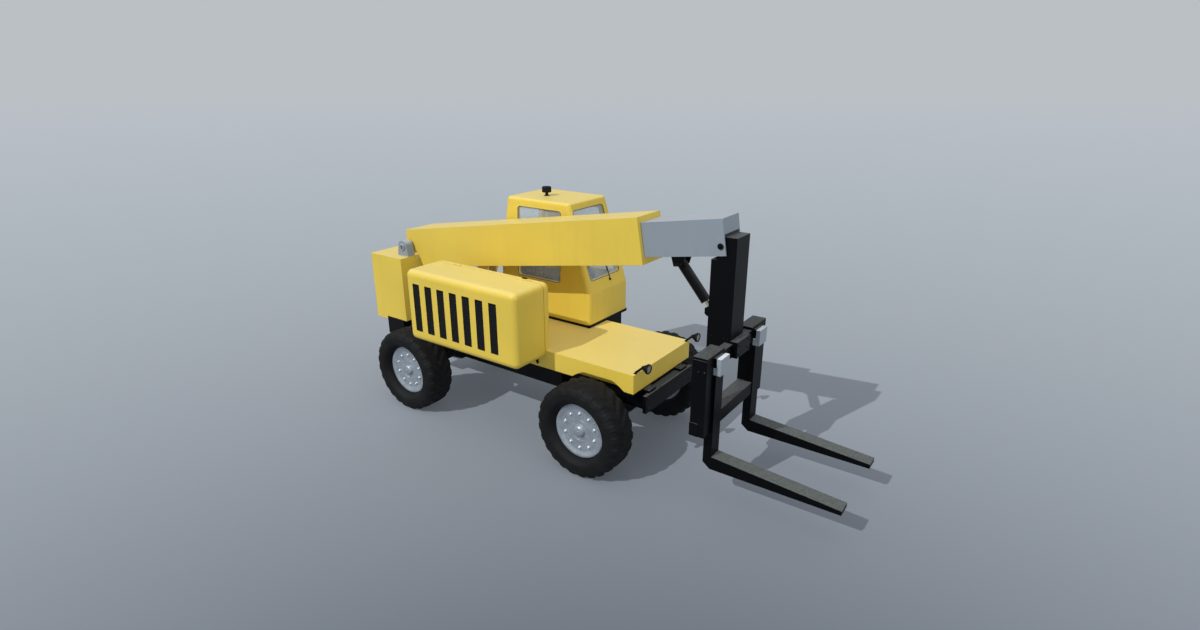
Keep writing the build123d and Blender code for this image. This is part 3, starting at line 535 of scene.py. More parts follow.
# radius and height over the disc of a stud, its nut and its washer
STUD_LINE = [(0, 0.0250), (0.005, 0.0242), (0.008, 0.0215), (0.0088, 0.016), (0.0135, 0.0125),
             (0.0160, 0.0105), (0.0160, 0.003), (0.0185, 0.0025), (0.0185, -0.002), (0, -0.002)]


def tyre_skin(x, y, z, side):
    """Radius over (angle, way round the section): a smooth section, and on the tread the lug's height where
    the angle, swept back with the distance from the middle, falls in the raised half of its pitch."""
    half = curve(CARCASS, 48)
    section = np.concatenate([half[::-1] * (-1, 1), half[1:]])
    d, r = section[:, 0], section[:, 1]
    turn = ring(22 * LUGS)[:, None]
    sweep = tan(LUG_SLANT) / TYRE_R
    phase = sweep * HALVES_MEET - 2 * pi * LUG_FLANK / LUGS
    swept = turn - phase + sweep * np.minimum(abs(d), TREAD_EDGE)
    share = swept * LUGS / (2 * pi) % 1
    left = smooth(0, LUG_FLANK, share) - smooth(0.5, 0.5 + LUG_FLANK, share)
    lug = left + (1 - 2 * left) * smooth(-HALVES_MEET, HALVES_MEET, -d)
    top = np.interp(abs(d), *np.transpose(LUG_TOP))
    radius = r + lug * np.maximum(top - r, 0) * smooth(0.405, 0.43, r)
    ridges = sum(np.exp(-((r - at) / 0.003) ** 2) for at in (0.352, 0.362, 0.428)) * (abs(d) > 0.12)
    across = np.broadcast_to(d + np.sign(d) * 0.0035 * ridges, radius.shape)
    return np.stack([x + radius * np.sin(turn), y + side * across, z + radius * np.cos(turn)], -1)


def wheel(corner):
    """Its tyre, its dished disc, ten studs, and the hub's screws and plug with the tyre's valve."""
    x, y, z = joints[f"roll_{corner}"]["pos_m"]
    body, side = f"wheel_{corner}", np.sign(y)
    out = side * Y

    def spot(radius, angle, depth):
        return np.array([x + radius * sin(angle), side * depth, z + radius * cos(angle)])

    tyre = Mould().grid(tyre_skin(x, y, z, side), round_u=True, round_v=True)
    tyre.piece(f"lugged_tyre_{corner}", body, "tyre_rubber", TYRE, [f"tyre_{corner}"], sharp=40)
    disc = Mould().turned(DISH, (x, 0, z), out, 96)
    disc.piece(f"dished_rim_{corner}", body, "rim_grey", RIM, [f"rim_{corner}"], sharp=28)
    studs = Mould()
    for angle in ring(10):
        studs.turned(STUD_LINE, spot(0.191, angle, DISC_FACE), out, 24)
    studs.piece(f"wheel_studs_{corner}", body, "bright_steel", STUD, sharp=50)
    screws = Mould()
    for angle in ring(6):
        screws.bolt(spot(0.090, angle, DISC_FACE), out, 0.006)
    screws.turned(dome(0.013, 0.004), spot(0, 0, 0.9233), out, 24)
    turn = 0.9
    valve = np.linspace(spot(0.250, turn, 0.894), spot(0.2365, turn, 0.907), 6)
    screws.tube(valve, [0.0055, 0.005, 0.0036, 0.0036, 0.0045, 0.0040], 10)
    screws.piece(f"hub_screws_{corner}", body, "rim_grey", RIM)


def wheels():
    """All four, front left first."""
    for corner in CORNERS:
        wheel(corner)


# ---- cab ----------------------------------------------------------------------------------------
def leaning(start, knee, shift):
    """A wall's skin over height: start up to the knee, then moved evenly, by shift at the cab's top."""
    return lambda z: start + np.maximum(z - knee, 0) * shift / (CAB_TOP - knee)


front_x = leaning(CAB_FRONT, 1.512, -0.331)
right_y = leaning(0.222, CAB_FLOOR, 0.061)
rear_x = leaning(CAB_REAR, 1.750, 0.108)


def window_seals():
    """A bead in the corner between each fixed pane and the leaning wall round it."""
    front, right = oblong(0.618, 2.044, 0.588, 0.788), oblong(-0.888, 2.004, 0.654, 0.840)
    rear = oblong(0.650, 2.050, 0.560, 0.680)
    inset = 0.003
    seals = Mould().hoop(front, "x", front_x(front[:, 1]) - inset, 0.005)
    seals.hoop(right, "y", right_y(right[:, 1]) + inset, 0.005)
    seals.hoop(rear, "x", rear_x(rear[:, 1]) + inset, 0.005)
    seals.piece("window_seals", "chassis", "black_plastic", GASKET, sharp=60)


def door_window_seal():
    """A bead round the door's pane, whose front edge follows the slope of the cab's front post."""
    lo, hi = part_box("door_glass")
    pane = rounded([(lo.x, lo.z), (-0.2971, lo.z), (-0.5444, hi.z), (lo.x, hi.z)], 0.006, 3)
    seal = Mould().hoop(pane, "y", CAB_LEFT - 0.003, 0.007)
    seal.piece("door_window_seal", "door", "black_plastic", GASKET, sharp=60)


def door_handle():
    """A pull on a plate, with a lock below it."""
    handle = Mould().block((-0.300, CAB_LEFT - 0.004, 1.395), (-0.235, CAB_LEFT + 0.004, 1.455), 0.002, 0.010)
    pull = [(-0.292, 1.032, 1.44), (-0.290, 1.038, 1.44), (-0.270, 1.0385, 1.44), (-0.246, 1.038, 1.44)]
    handle.tube(curve(pull, 16), 0.006, 10)
    lock = [(0, 0.007), (0.007, 0.0065), (0.009, 0.004), (0.009, 0), (0, 0)]
    handle.turned(lock, (-0.268, CAB_LEFT + 0.003, 1.412), Y, 20)
    handle.piece("door_handle", "door", "black_plastic", PLASTIC)


def grab_rail():
    """A rail on the rear post, bent in at both ends to round feet."""
    x, low, high = -1.290, 1.305, 1.795
    foot, bend, out = CAB_LEFT - 0.010, CAB_LEFT + 0.016, CAB_LEFT + 0.022
    line = [(foot, low), (bend, low + 0.010), (out, low + 0.040), (out, (low + high) / 2),
            (out, high - 0.040), (bend, high - 0.010), (foot, high)]
    rail = Mould().tube(curve([(x, *spot) for spot in line], 44), 0.010)
    for z in (low, high):
        rail.turned(button(0.018, 0.006, 0.003), (x, CAB_LEFT, z), Y, 20)
    rail.piece("grab_rail", "chassis", "black_plastic", PLASTIC)


def windscreen_wiper():
    """A spindle's cap, an arm that thins upwards, and a flat blade under a thin carrier."""
    foot = 1.600

    def up_glass(low, high, count, y, lift):
        """Points up the windscreen, lift clear of it, that drift to the right by 12 mm a metre."""
        z = np.linspace(low, high, count)
        return np.stack([front_x(z) + lift, y - (z - foot) * 0.012, z], -1)

    cap = [(0, 0.020), (0.010, 0.019), (0.014, 0.014), (0.014, 0), (0, 0)]
    wiper = Mould().turned(cap, (front_x(foot), 0.677, foot), (1, 0, 0.33), 20)
    wiper.tube(up_glass(foot, 1.900, 14, 0.677, 0.010), np.linspace(0.0055, 0.0035, 14), 8)
    blade = up_glass(1.690, 2.210, 24, 0.675, -0.0015)
    wiper.tube(blade, 0.0050, 8, flat=0.6)
    wiper.tube(blade[6:18] + 0.006 * X, 0.0035, 8)
    wiper.piece("windscreen_wiper", "chassis", "black_plastic", PLASTIC)


def beacon_lamp():
    """A foot, a stem, a cup and a ribbed dome."""
    lo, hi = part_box("beacon")
    middle = np.array([(lo.x + hi.x) / 2, (lo.y + hi.y) / 2, lo.z])
    outline = [(0, 0.0), (0.034, 0.0), (0.034, 0.005), (0.022, 0.008), (0.019, 0.016), (0.019, 0.040),
               (0.030, 0.042), (0.051, 0.0425), (0.0560, 0.046), (0.0570, 0.050), (0.0570, 0.056),
               (0.0545, 0.058), (0.0545, 0.100), (0.0535, 0.106), (0.048, 0.1095), (0.034, 0.1108),
               (0, 0.1108)]
    lamp = Mould().turned(outline, middle, Z, 56)
    for angle in ring(20):
        foot = middle + 0.0540 * (cos(angle) * X + sin(angle) * Y)
        lamp.tube([foot + height * Z for height in (0.058, 0.078, 0.100)], 0.0026, 6)
    lamp.piece("beacon_lamp", "chassis", "black_plastic", PLASTIC, ["beacon"])


def work_lamps():
    """Each lamp: a domed lens, a bezel, a bowl behind, and a ribbed sleeve on its arm."""
    lens = [(0, 0.0045), (0.015, 0.0042), (0.028, 0.0030), (0.038, 0.0008), (0.0405, -0.001), (0, -0.001)]
    bezel = [(0.0400, 0.0), (0.0415, 0.0075), (0.0440, 0.0090), (0.0472, 0.0080), (0.0488, 0.0040),
             (0.0488, -0.0060), (0.0478, -0.0068), (0.0400, -0.0068)]
    bowl = [(0, -0.012), (0.018, -0.010), (0.022, 0.004), (0.036, 0.028), (0.050, 0.050), (0.0525, 0.056),
            (0.0525, 0.064), (0.0495, 0.064), (0.0495, 0.056), (0, 0.050)]
    glass, trim = Mould(), Mould()
    lo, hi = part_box("work_lamps")
    deck_x, deck_y, deck_z = DECK[1]
    z = hi.z - 0.048
    for y in (lo.y + 0.105, hi.y - 0.048):
        seat = (hi.x - 0.008, y, z)
        glass.turned(lens, seat, X, 40)
        trim.turned(bezel, seat, X, 40)
        foot = (deck_x - 0.012, (deck_y - 0.054) * np.sign(y), deck_z + 0.012)
        trim.tube(np.linspace(foot, (lo.x + 0.045, y, z), 14), 0.0115 + 0.0015 * (np.arange(14) % 2), 10)
        trim.turned(bowl, (lo.x + 0.048, y, z), X, 40)
    glass.piece("work_lamp_lenses", "chassis", "window_glass", LENS)
    trim.piece("work_lamp_bezels", "chassis", "black_plastic", PLASTIC)


# ---- hood ---------------------------------------------------------------------------------------
def hood_slots():
    """Seven slots in the hood's side, each with slanted blades behind it and a thin trim round it."""
    first, pitch, width = -1.636, 0.193, 0.104
    outer, inner = -1.0385, -1.0345
    slats, trims = Mould(), Mould()
    for n in range(7):
        x = first + pitch * n
        for z in np.arange(1.170, 1.705, 0.0335):
            blade = [(outer, z - 0.012), (inner, z + 0.009), (inner, z + 0.012), (outer, z - 0.009)]
            slats.prism(blade, "x", x + 0.001, x + 0.001 + width, 0.0005)
        trims.hoop(oblong(x + 0.053, 1.434, 0.1045, 0.5545, 0.004, 3), "y", HOOD[0].y + 0.0015, 0.0025, 6)
    slats.piece("hood_louvres", "hood_lid", "black_plastic", PLASTIC)
    trims.piece("hood_slot_trims", "hood_lid", "black_plastic", SEAL, sharp=60)


def hood_catch():
    """Two catch plates inside the hood's lower edge, a latch on the deck's side, and a rest on the top."""
    y, z, deck_y = HOOD[0].y + 0.062, HOOD[0].z + 0.018, DECK[0].y
    catch = Mould()
    for x in (-1.500, -0.380):
        catch.block((x - 0.022, y, z), (x + 0.022, y + 0.010, z + 0.032), 0.002)
    catch.block((-0.252, deck_y - 0.012, 0.935), (-0.224, deck_y, 0.985), 0.002)
    pull = [(-0.238, deck_y - 0.008, 0.960), (-0.238, deck_y - 0.022, 0.962), (-0.238, deck_y - 0.028, 0.975)]
    catch.tube(pull, 0.006, 8)
    catch.block((-0.430, -0.575, 1.857), (-0.370, -0.545, 1.876), 0.003, 0.006)
    catch.piece("hood_catch", "chassis", "black_plastic", PLASTIC)


# ---- cab's inside -------------------------------------------------------------------------------
SEAT_RIGHT, SEAT_LEFT = SEAT_Y - 0.215, SEAT_Y + 0.215
PUFF = 0.022                         # the most that a pad's skin is blown outwards
WHEEL_HUB, WHEEL_AXIS = np.array([-0.470, SEAT_Y, 1.740]), (-0.6476, 0, 0.7619)


def settle(made):
    """Applies a piece's modifiers by copying what they give into its mesh."""
    view = bpy.context.evaluated_depsgraph_get()
    fresh = bpy.data.meshes.new_from_object(made.evaluated_get(view))
    made.modifiers.clear()
    made.data = fresh


def points_of(made):
    """The corner points of a piece's mesh, one to a row."""
    p = np.empty(len(made.data.vertices) * 3)
    made.data.vertices.foreach_get("co", p)
    return p.reshape(-1, 3)


def pad(name, outline, lo, hi, seams):
    """A stuffed pad: its outline is carried along Y with round ends, remeshed, blown up as cloth by no more
    than PUFF, and stitched: each seam (axis, place, depth, width) presses the skin towards the middle by
    depth * exp(-((c - place) / width)^2), where c is the distance along the seam's axis."""
    made = Mould().prism(outline, "y", lo, hi, 0.016).piece(name, "chassis", "seat_fabric", SEAT, sharp=180)
    remesh = made.modifiers.new("remesh", "REMESH")
    remesh.mode, remesh.voxel_size = "VOXEL", 0.0075
    settle(made)
    flat = points_of(made)
    cloth = made.modifiers.new("cloth", "CLOTH").settings
    cloth.use_pressure, cloth.uniform_pressure_force = True, 4.0
    cloth.effector_weights.gravity = 0.0
    for moment in range(1, 21):
        scene.frame_set(moment)
    settle(made)
    scene.frame_set(1)
    moved = points_of(made) - flat
    far = np.linalg.norm(moved, axis=1, keepdims=True)
    p = flat + moved * np.minimum(1, PUFF / np.maximum(far, 1e-9))
    middle = (p.max(0) + p.min(0)) / 2
    for axis, place, depth, width in seams:
        which = "xyz".index(axis)
        away = p - middle
        away[:, which] = 0
        away /= np.maximum(np.linalg.norm(away, axis=1, keepdims=True), 1e-6)
        p = p - away * (depth * np.exp(-((p[:, which] - place) / width) ** 2))[:, None]
    made.data.vertices.foreach_set("co", p.ravel())
    smoother = made.modifiers.new("smoother", "SUBSURF")
    smoother.levels = smoother.render_levels = 1
    settle(made)
    made.data.shade_smooth()
    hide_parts("operator_seat")


def seat():
    """A cushion and a back, each with seams across it and along its two sides."""
    cushion = rounded([(-1.315, 1.462), (-0.815, 1.462), (-0.815, 1.535), (-1.315, 1.515)], 0.034, 6)
    across = [("x", x, 0.009, 0.012) for x in (-0.93, -1.18)]
    along = [("y", y, 0.008, 0.010) for y in (SEAT_RIGHT + 0.085, SEAT_LEFT - 0.085)]
    pad("seat_cushion", cushion, SEAT_RIGHT, SEAT_LEFT, across + along)
    back = rounded([(-1.318, 1.585), (-1.255, 1.585), (-1.305, 2.095), (-1.355, 2.095)], 0.024, 6)
    across = [("z", z, 0.008, 0.012) for z in (1.72, 1.86, 2.00)]
    along = [("y", y, 0.008, 0.010) for y in (SEAT_RIGHT + 0.095, SEAT_LEFT - 0.095)]
    pad("seat_back", back, SEAT_RIGHT + 0.012, SEAT_LEFT - 0.012, across + along)


def seat_frame():
    """A pan, a back plate, two tubes that join them, and two rails on the cab's floor."""
    pan = rounded([(-1.325, 1.440), (-0.805, 1.440), (-0.800, 1.458), (-1.325, 1.458)], 0.006, 4)
    plate = rounded([(-1.352, 1.560), (-1.338, 1.560), (-1.371, 2.085), (-1.379, 2.085)], 0.003, 3)
    made = Mould().prism(pan, "y", SEAT_RIGHT - 0.010, SEAT_LEFT + 0.010)
    made.prism(plate, "y", SEAT_RIGHT + 0.02, SEAT_LEFT - 0.02)
    for y in (SEAT_Y - 0.12, SEAT_Y + 0.12):
        bent = [(-1.30, y, 1.450), (-1.345, y, 1.470), (-1.346, y, 1.56), (-1.366, y, 1.92)]
        made.tube(curve(bent, 24), 0.010, 10)
        made.block((-1.290, y - 0.018, CAB_FLOOR), (-0.840, y + 0.018, CAB_FLOOR + 0.022))
    made.piece("seat_frame", "chassis", "black_plastic", PLASTIC)


def seat_bellows(folds=9):
    """A rounded rectangle carried up from the floor to the pan, and drawn in at every second step."""
    outline = oblong(0, 0, 0.42, 0.34, 0.06)
    drawn = np.where(np.arange(2 * folds + 1) % 2, 1.0, 0.93)[:, None, None] * outline
    heights = np.linspace(CAB_FLOOR + 0.022, 1.440, 2 * folds + 1)
    heights = np.broadcast_to(heights[:, None, None], (*drawn.shape[:2], 1))
    rings = np.concatenate([drawn + (-1.06, SEAT_Y), heights], -1)
    ends = np.broadcast_to(rings.mean(1, keepdims=True), rings.shape)
    skin = Mould().grid(np.concatenate([ends[:1], rings, ends[-1:]]), round_v=True)
    skin.piece("seat_bellows", "chassis", "black_plastic", SEAL, sharp=25)


def steering_wheel():
    """A rim whose grip swells 36 times round it, three flat spokes and a boss."""
    first, second, axis = basis(WHEEL_AXIS)
    a = ring(72)[:, None]
    rim = WHEEL_HUB + 0.170 * (np.cos(a) * first + np.sin(a) * second)
    made = Mould().tube(rim, 0.0125 + 0.0012 * np.cos(36 * a[:, 0]), 14, closed=True)
    for turn in (0.5 * pi, 0.5 * pi + 2.2, 0.5 * pi - 2.2):
        way = cos(turn) * first + sin(turn) * second
        dips = ((0.020, 0.012), (0.06, 0.014), (0.12, 0.004), (0.168, 0))
        spoke = curve([WHEEL_HUB + way * reach - axis * dip for reach, dip in dips], 14)
        made.tube(spoke, np.linspace(0.018, 0.010, 14), 10, flat=0.45)
    boss = [(0, 0.010), (0.020, 0.009), (0.034, 0.004), (0.038, -0.004), (0.038, -0.016), (0.026, -0.026),
            (0, -0.026)]
    made.turned(boss, WHEEL_HUB, axis, 32)
    made.piece("steering_wheel", "chassis", "black_plastic", PLASTIC, ["steering_console"], sharp=45)


def dashboard():
    """The console in front of the wheel with three dials, and the column with a ribbed boot at its foot."""
    foot = np.array([-0.300, SEAT_Y, 1.540])
    column = np.linspace(foot - (WHEEL_HUB - foot) * 0.08, WHEEL_HUB - (WHEEL_HUB - foot) * 0.09, 14)
    step = np.arange(14)
    made = Mould().tube(column, 0.026 + 0.004 * (step % 2) * (step < 7), 16)
    console = [(-0.300, CAB_FLOOR), (-0.182, CAB_FLOOR), (-0.182, 1.495), (-0.214, 1.580), (-0.245, 1.586),
               (-0.328, 1.556), (-0.310, 1.500)]
    made.prism(rounded(console, 0.012, 5), "y", 0.402, 0.858, 0.008)
    dial = [(0.030, -0.004), (0.036, 0.002), (0.036, 0.007), (0.030, 0.0085), (0.028, 0.004), (0, 0.004)]
    for y in (SEAT_Y - 0.12, SEAT_Y, SEAT_Y + 0.12):
        made.turned(dial, (-0.283, y, 1.573), (-0.34, 0, 0.94), 28)
    made.piece("steering_console_dash", "chassis", "black_plastic", PLASTIC)


def cab_linings():
    """A mat, linings on the right and rear walls below the windows, and a headlining."""
    made = Mould().block((-1.440, 0.275, CAB_FLOOR), (-0.335, 0.972, CAB_FLOOR + 0.006), 0.002)
    right = [(0.2675, 1.165), (0.2735, 1.165), (0.2900, 1.550), (0.2840, 1.550)]
    rear = [(-1.458, 1.165), (-1.451, 1.165), (-1.451, 1.690), (-1.458, 1.690)]
    made.prism(right, "x", -1.430, -0.210, 0.002)
    made.prism(rear, "y", 0.285, 0.965, 0.002)
    made.block((-1.330, 0.350, 2.470), (-0.520, 0.950, 2.4778), 0.003, 0.04)
    made.piece("cab_linings", "chassis", "black_plastic", LINING)


def door_lining():
    """A card on the door's inner side, with an arm rest on it."""
    card = Mould().prism(oblong(-0.672, 1.340, 0.860, 0.310, 0.03), "y", 0.978, 0.985, 0.002)
    card.prism(oblong(-0.700, 1.440, 0.420, 0.040, 0.015), "y", 0.962, 0.979, 0.004)
    card.piece("door_lining", "door", "black_plastic", LINING)


def pedals():
    """Three pedals: each a plate on an arm that hangs from the console."""
    plate = rounded([(-0.405, 1.182), (-0.398, 1.176), (-0.352, 1.250), (-0.359, 1.256)], 0.003, 3)
    made = Mould()
    for y in (0.530, 0.690, 0.770):
        made.tube(curve([(-0.302, y, 1.300), (-0.340, y, 1.270), (-0.365, y, 1.225)], 10), 0.007, 8)
        made.prism(plate, "y", y - 0.028, y + 0.028)
    made.piece("pedals", "chassis", "cast_black", CAST)


def control_levers():
    """A box at the seat's right with a stick in a boot and two small knobs behind it."""
    y, stick_x = 0.343, -0.905
    made = Mould().block((-1.240, 0.298, CAB_FLOOR), (-0.830, 0.388, 1.590), 0.006, 0.025)
    boot = [(0.030, 0.0), (0.028, 0.010), (0.022, 0.014), (0.022, 0.022), (0.016, 0.026), (0.014, 0.034),
            (0, 0.036)]
    made.turned(boot, (stick_x, y, 1.589), Z, 24)
    stick = curve([(stick_x, y, 1.610), (stick_x + 0.005, y, 1.68), (stick_x + 0.020, y, 1.74)], 12)
    made.tube(stick, [0.006] * 6 + [0.012, 0.017, 0.019, 0.018, 0.017, 0.012], 14)
    for x in (-1.02, -1.08):
        made.tube([(x, y, z) for z in (1.585, 1.64, 1.652, 1.672)], [0.004, 0.004, 0.011, 0.009])
    made.piece("control_levers", "chassis", "black_plastic", PLASTIC)


# ---- engine under the hood ----------------------------------------------------------------------
ENGINE = np.array(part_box("engine_block"))
LENGTH, WIDTH, HEIGHT = ENGINE[1] - ENGINE[0]    # of the engine's bay


def inside(from_rear, from_right, up):
    """A place in the engine's bay, from its lowest corner at the rear and right."""
    return ENGINE[0] + (from_rear, from_right, up)


def engine_castings():
    """A ribbed crankcase, a head on it, and a pulley at the front with a belt's groove."""
    iron = Mould().block(inside(0.26, 0.06, 0), inside(LENGTH - 0.16, WIDTH - 0.01, 0.34), 0.012, 0.03)
    for k in range(5):
        x = 0.32 + 0.13 * k
        iron.block(inside(x, 0.045, 0.05), inside(x + 0.025, 0.065, 0.31), 0.004)
    iron.block(inside(0.30, 0.09, 0.342), inside(LENGTH - 0.20, WIDTH - 0.03, 0.42), 0.010, 0.02)
    pulley = [(0, 0), (0.075, 0), (0.080, 0.004), (0.080, 0.012), (0.072, 0.016), (0.080, 0.020),
              (0.080, 0.028), (0.075, 0.032), (0.030, 0.032), (0.030, 0.050), (0, 0.050)]
    iron.turned(pulley, inside(LENGTH - 0.160, WIDTH / 2, 0.14), X, 40)
    iron.piece("engine_castings", "chassis", "cast_black", CAST, ["engine_block"])


def valve_cover():
    """A ribbed cover over the head, with its filler's cap."""
    cover = Mould().block(inside(0.33, 0.11, 0.421), inside(LENGTH - 0.23, WIDTH - 0.05, 0.49), 0.012, 0.03)
    for k in range(7):
        x = 0.40 + 0.085 * k
        cover.block(inside(x, 0.12, 0.488), inside(x + 0.012, WIDTH - 0.06, 0.498))
    cap = [(0, 0), (0.024, 0), (0.026, 0.004), (0.026, 0.016), (0.022, 0.020), (0, 0.020)]
    cover.turned(cap, inside(0.46, WIDTH / 2, 0.497), Z, 24)
    cover.piece("valve_cover", "chassis", "rim_grey", RIM)


def radiator():
    """A core at the front of the bay, with 24 fins across its rear face."""
    core = Mould().block(inside(LENGTH - 0.060, 0.01, 0), inside(LENGTH, WIDTH, HEIGHT - 0.04), 0.006)
    for k in range(24):
        z = 0.035 + 0.0215 * k
        core.block(inside(LENGTH - 0.066, 0.03, z), inside(LENGTH - 0.0595, WIDTH - 0.03, z + 0.004), 0.001)
    core.piece("radiator", "chassis", "black_paint", BLACK)


def air_filter_and_hoses():
    """The air filter's can with its hose to the head, the oil filter, and the radiator's hose."""
    top = HEIGHT - 0.10
    can = [(0, 0), (0.078, 0), (0.084, 0.006), (0.084, 0.250), (0.088, 0.254), (0.088, 0.270), (0.084, 0.274),
           (0.084, 0.330), (0.074, 0.342), (0.040, 0.344), (0, 0.344)]
    oil = [(0, 0), (0.040, 0), (0.044, 0.004), (0.044, 0.095), (0.048, 0.099), (0.048, 0.106), (0, 0.106)]
    intake = [(0.36, 0.12, top), (0.46, 0.12, top + 0.005), (0.54, 0.15, top - 0.03), (0.56, 0.18, 0.47)]
    coolant = [(LENGTH - 0.06, 0.09, top), (LENGTH - 0.14, 0.09, top), (LENGTH - 0.20, 0.12, 0.46),
               (LENGTH - 0.24, 0.14, 0.40)]
    made = Mould().turned(can, inside(0.02, 0.12, top), X, 48)
    made.turned(oil, inside(0.52, 0.052, 0.10), Z, 32)
    made.tube(inside(0, 0, 0) + curve(intake, 30), 0.030, 20)
    made.tube(inside(0, 0, 0) + curve(coolant, 30), 0.020, 16)
    made.piece("air_filter_and_hoses", "chassis", "black_plastic", PLASTIC)


# ---- boom, carriage and chassis fittings --------------------------------------------------------
PIVOT_X, _, PIVOT_Z = joints["boom_lift"]["pos_m"]
BEARING_FOOT = 1.731                 # height of the bearings' feet on the tower


def pivot_pin_caps():
    """A cap with a bolt on each end of the boom's pivot pin, and two bolts in each bearing's foot."""
    caps = Mould()
    for s in SIDES:
        end = (PIVOT_X, s * 0.356, PIVOT_Z)
        caps.turned(button(0.044, 0.009), end, s * Y, 36)
        caps.bolt(end + 0.009 * s * Y, s * Y, 0.008)
        for x in (PIVOT_X - 0.080, PIVOT_X + 0.080):
            caps.bolt((x, s * 0.290, BEARING_FOOT), Z, 0.011)
    caps.piece("pivot_pin_caps", "chassis", "blue_grey_paint", BLUE_GREY)


def bearing_welds():
    """A bead along both sides of each bearing's foot."""
    beads = Mould()
    for s in SIDES:
        for y in (0.243, 0.352):
            ends = ((PIVOT_X + reach, s * y, BEARING_FOOT) for reach in (-0.098, 0.098))
            beads.weld(*ends, 0.005)
    beads.piece("bearing_welds", "chassis", "blue_grey_paint", BLUE_GREY, sharp=70)


def carriage_welds():
    """Beads at the top and the foot of the carriage's posts, and where its bars meet the middle frame."""
    runs = np.array([
        [(1.678, 0.668, 1.496), (1.820, 0.668, 1.496)],
        [(1.674, 0.671, 0.860), (1.760, 0.671, 0.860)],
        [(1.740, 0.368, 1.359), (1.740, 0.300, 1.359)],
        [(1.690, 0.369, 0.910), (1.758, 0.369, 0.910)]])
    beads = Mould()
    for s in SIDES:
        for start, end in runs * (1, s, 1):
            beads.weld(start, end, 0.004)
    beads.piece("carriage_welds", "fork_frame", "black_paint", BLACK, sharp=70)


def carriage_bolts():
    """Two bolts in each side plate, a row along each side of the top, and two in front of the frame."""
    bolts = Mould()
    for s in SIDES:
        for x, z in ((1.738, 1.381), (1.799, 1.386)):
            bolts.bolt((x, s * 0.666, z), s * Y, 0.009)
        for x in np.linspace(1.590, 1.765, 5):
            bolts.bolt((x, s * 0.140, 1.535), s * Y, 0.0055, washer=False)
        for z in (1.395, 1.487):
            bolts.bolt((1.873, s * 0.110, z), X, 0.010)
    bolts.piece("carriage_bolts", "fork_frame", "black_paint", BLACK)


def hook_pins():
    """The heads of two locking pins on each fork's hook."""
    pins = Mould()
    for s in SIDES:
        for y in (0.390, 0.508):
            pins.turned(dome(0.009, 0.004), (1.872, s * y, 1.490), Z, 20)
    pins.piece("hook_pins", "fork_frame", "bright_steel", BRIGHT)


def nose_pin_caps():
    """A cap with a bolt on each end of the pin that the carriage tilts on."""
    x, _, z = joints["fork_tilt"]["pos_m"]
    caps = Mould()
    for s in SIDES:
        caps.turned(button(0.030, 0.006), (x, s * 0.180, z), s * Y, 32)
        caps.bolt((x, s * 0.186, z), s * Y, 0.006)
    caps.piece("nose_pin_caps", "boom_inner", "cast_black", CAST)


def tilt_bracket_welds():
    """A bead on both sides of each of the tilt cylinder's lugs, along the boom head's sloping underside."""
    beads = Mould()
    for s in SIDES:
        for y in (0.060, 0.084):
            beads.weld((1.100, s * y, 2.246), (1.243, s * y, 2.2690), 0.0035)
    beads.piece("tilt_bracket_welds", "boom_inner", "cast_black", CAST, sharp=70)


def lift_cylinder_ports():
    """Two hose unions on the upper side of the lift cylinder's barrel, by their distance from its foot."""
    foot, way = np.array([-2.300, 0, 1.000]), np.array([0.7723, 0, 0.6353])
    up = np.array([-way[2], 0, way[0]])
    union = [(0, 0.030), (0.008, 0.030), (0.012, 0.024), (0.012, 0.012), (0.016, 0.010), (0.016, 0), (0, 0)]
    ports = Mould()
    for reach in (0.10, 0.86):
        ports.turned(union, foot + way * reach + up * 0.057, up, 6)
    ports.piece("lift_cylinder_ports", "lift_barrel", "bright_steel", BRIGHT)


def front_bolts():
    """Bolts on the front crossmember's top and face, and in the feet of the lamps' arms."""
    front_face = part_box("front_crossmember")[1].x
    bolts = Mould()
    for s in SIDES:
        for y in (0.285, 0.365):
            bolts.bolt((1.030, s * y, 0.8962), Z, 0.009)
        for z in (0.72, 0.83):
            bolts.bolt((front_face, s * 0.44, z), X, 0.011)
    for s in SIDES:
        bolts.bolt((0.972, s * 0.523, DECK[1].z + 0.006), Z, 0.005)
    bolts.piece("front_bolts", "chassis", "black_paint", BLACK)


def tail_lamps():
    """Two round lamps on each side of the rear face: a domed lens in a rubber rim."""
    lens = [(0, 0.010), (0.016, 0.0095), (0.030, 0.007), (0.034, 0.003), (0.034, 0), (0, 0)]
    rim = [(0.033, 0), (0.034, 0.006), (0.038, 0.007), (0.042, 0.005), (0.043, 0)]
    lenses, rims = Mould(), Mould()
    for s in SIDES:
        for y in (0.34, 0.43):
            spot = (REAR_FACE, s * y, 1.05)
            lenses.turned(lens, spot, -X, 32)
            rims.turned(rim, spot, -X, 32)
    lenses.piece("tail_lenses", "chassis", "black_plastic", TAIL)
    rims.piece("tail_lamp_rims", "chassis", "black_plastic", PLASTIC)


def fuel_cap():
    """A cap over a flange on the left side."""
    cap = [(0, 0.028), (0.030, 0.027), (0.036, 0.022), (0.037, 0.006), (0.048, 0.004), (0.050, 0), (0, 0)]
    made = Mould().turned(cap, (-1.300, 0.905, 0.99), Y, 40)
    made.piece("fuel_cap", "chassis", "black_plastic", PLASTIC)


def step_studs():
    """Three rows of grip studs on the step below the door."""
    studs = Mould()
    for x in np.linspace(-0.92, -0.58, 12):
        for y in (0.920, 0.945, 0.970):
            studs.turned(dome(0.009, 0.003, 0.002), (x, y, 0.790), Z, 10)
    studs.piece("step_studs", "chassis", "black_paint", BLACK)


# ---- stage --------------------------------------------------------------------------------------
# where the camera stands, how far it is turned left from +Y, and how far it looks down
EYE, TURN, DIP = (4.220, -5.718, 3.926), radians(35.22), radians(19.76)
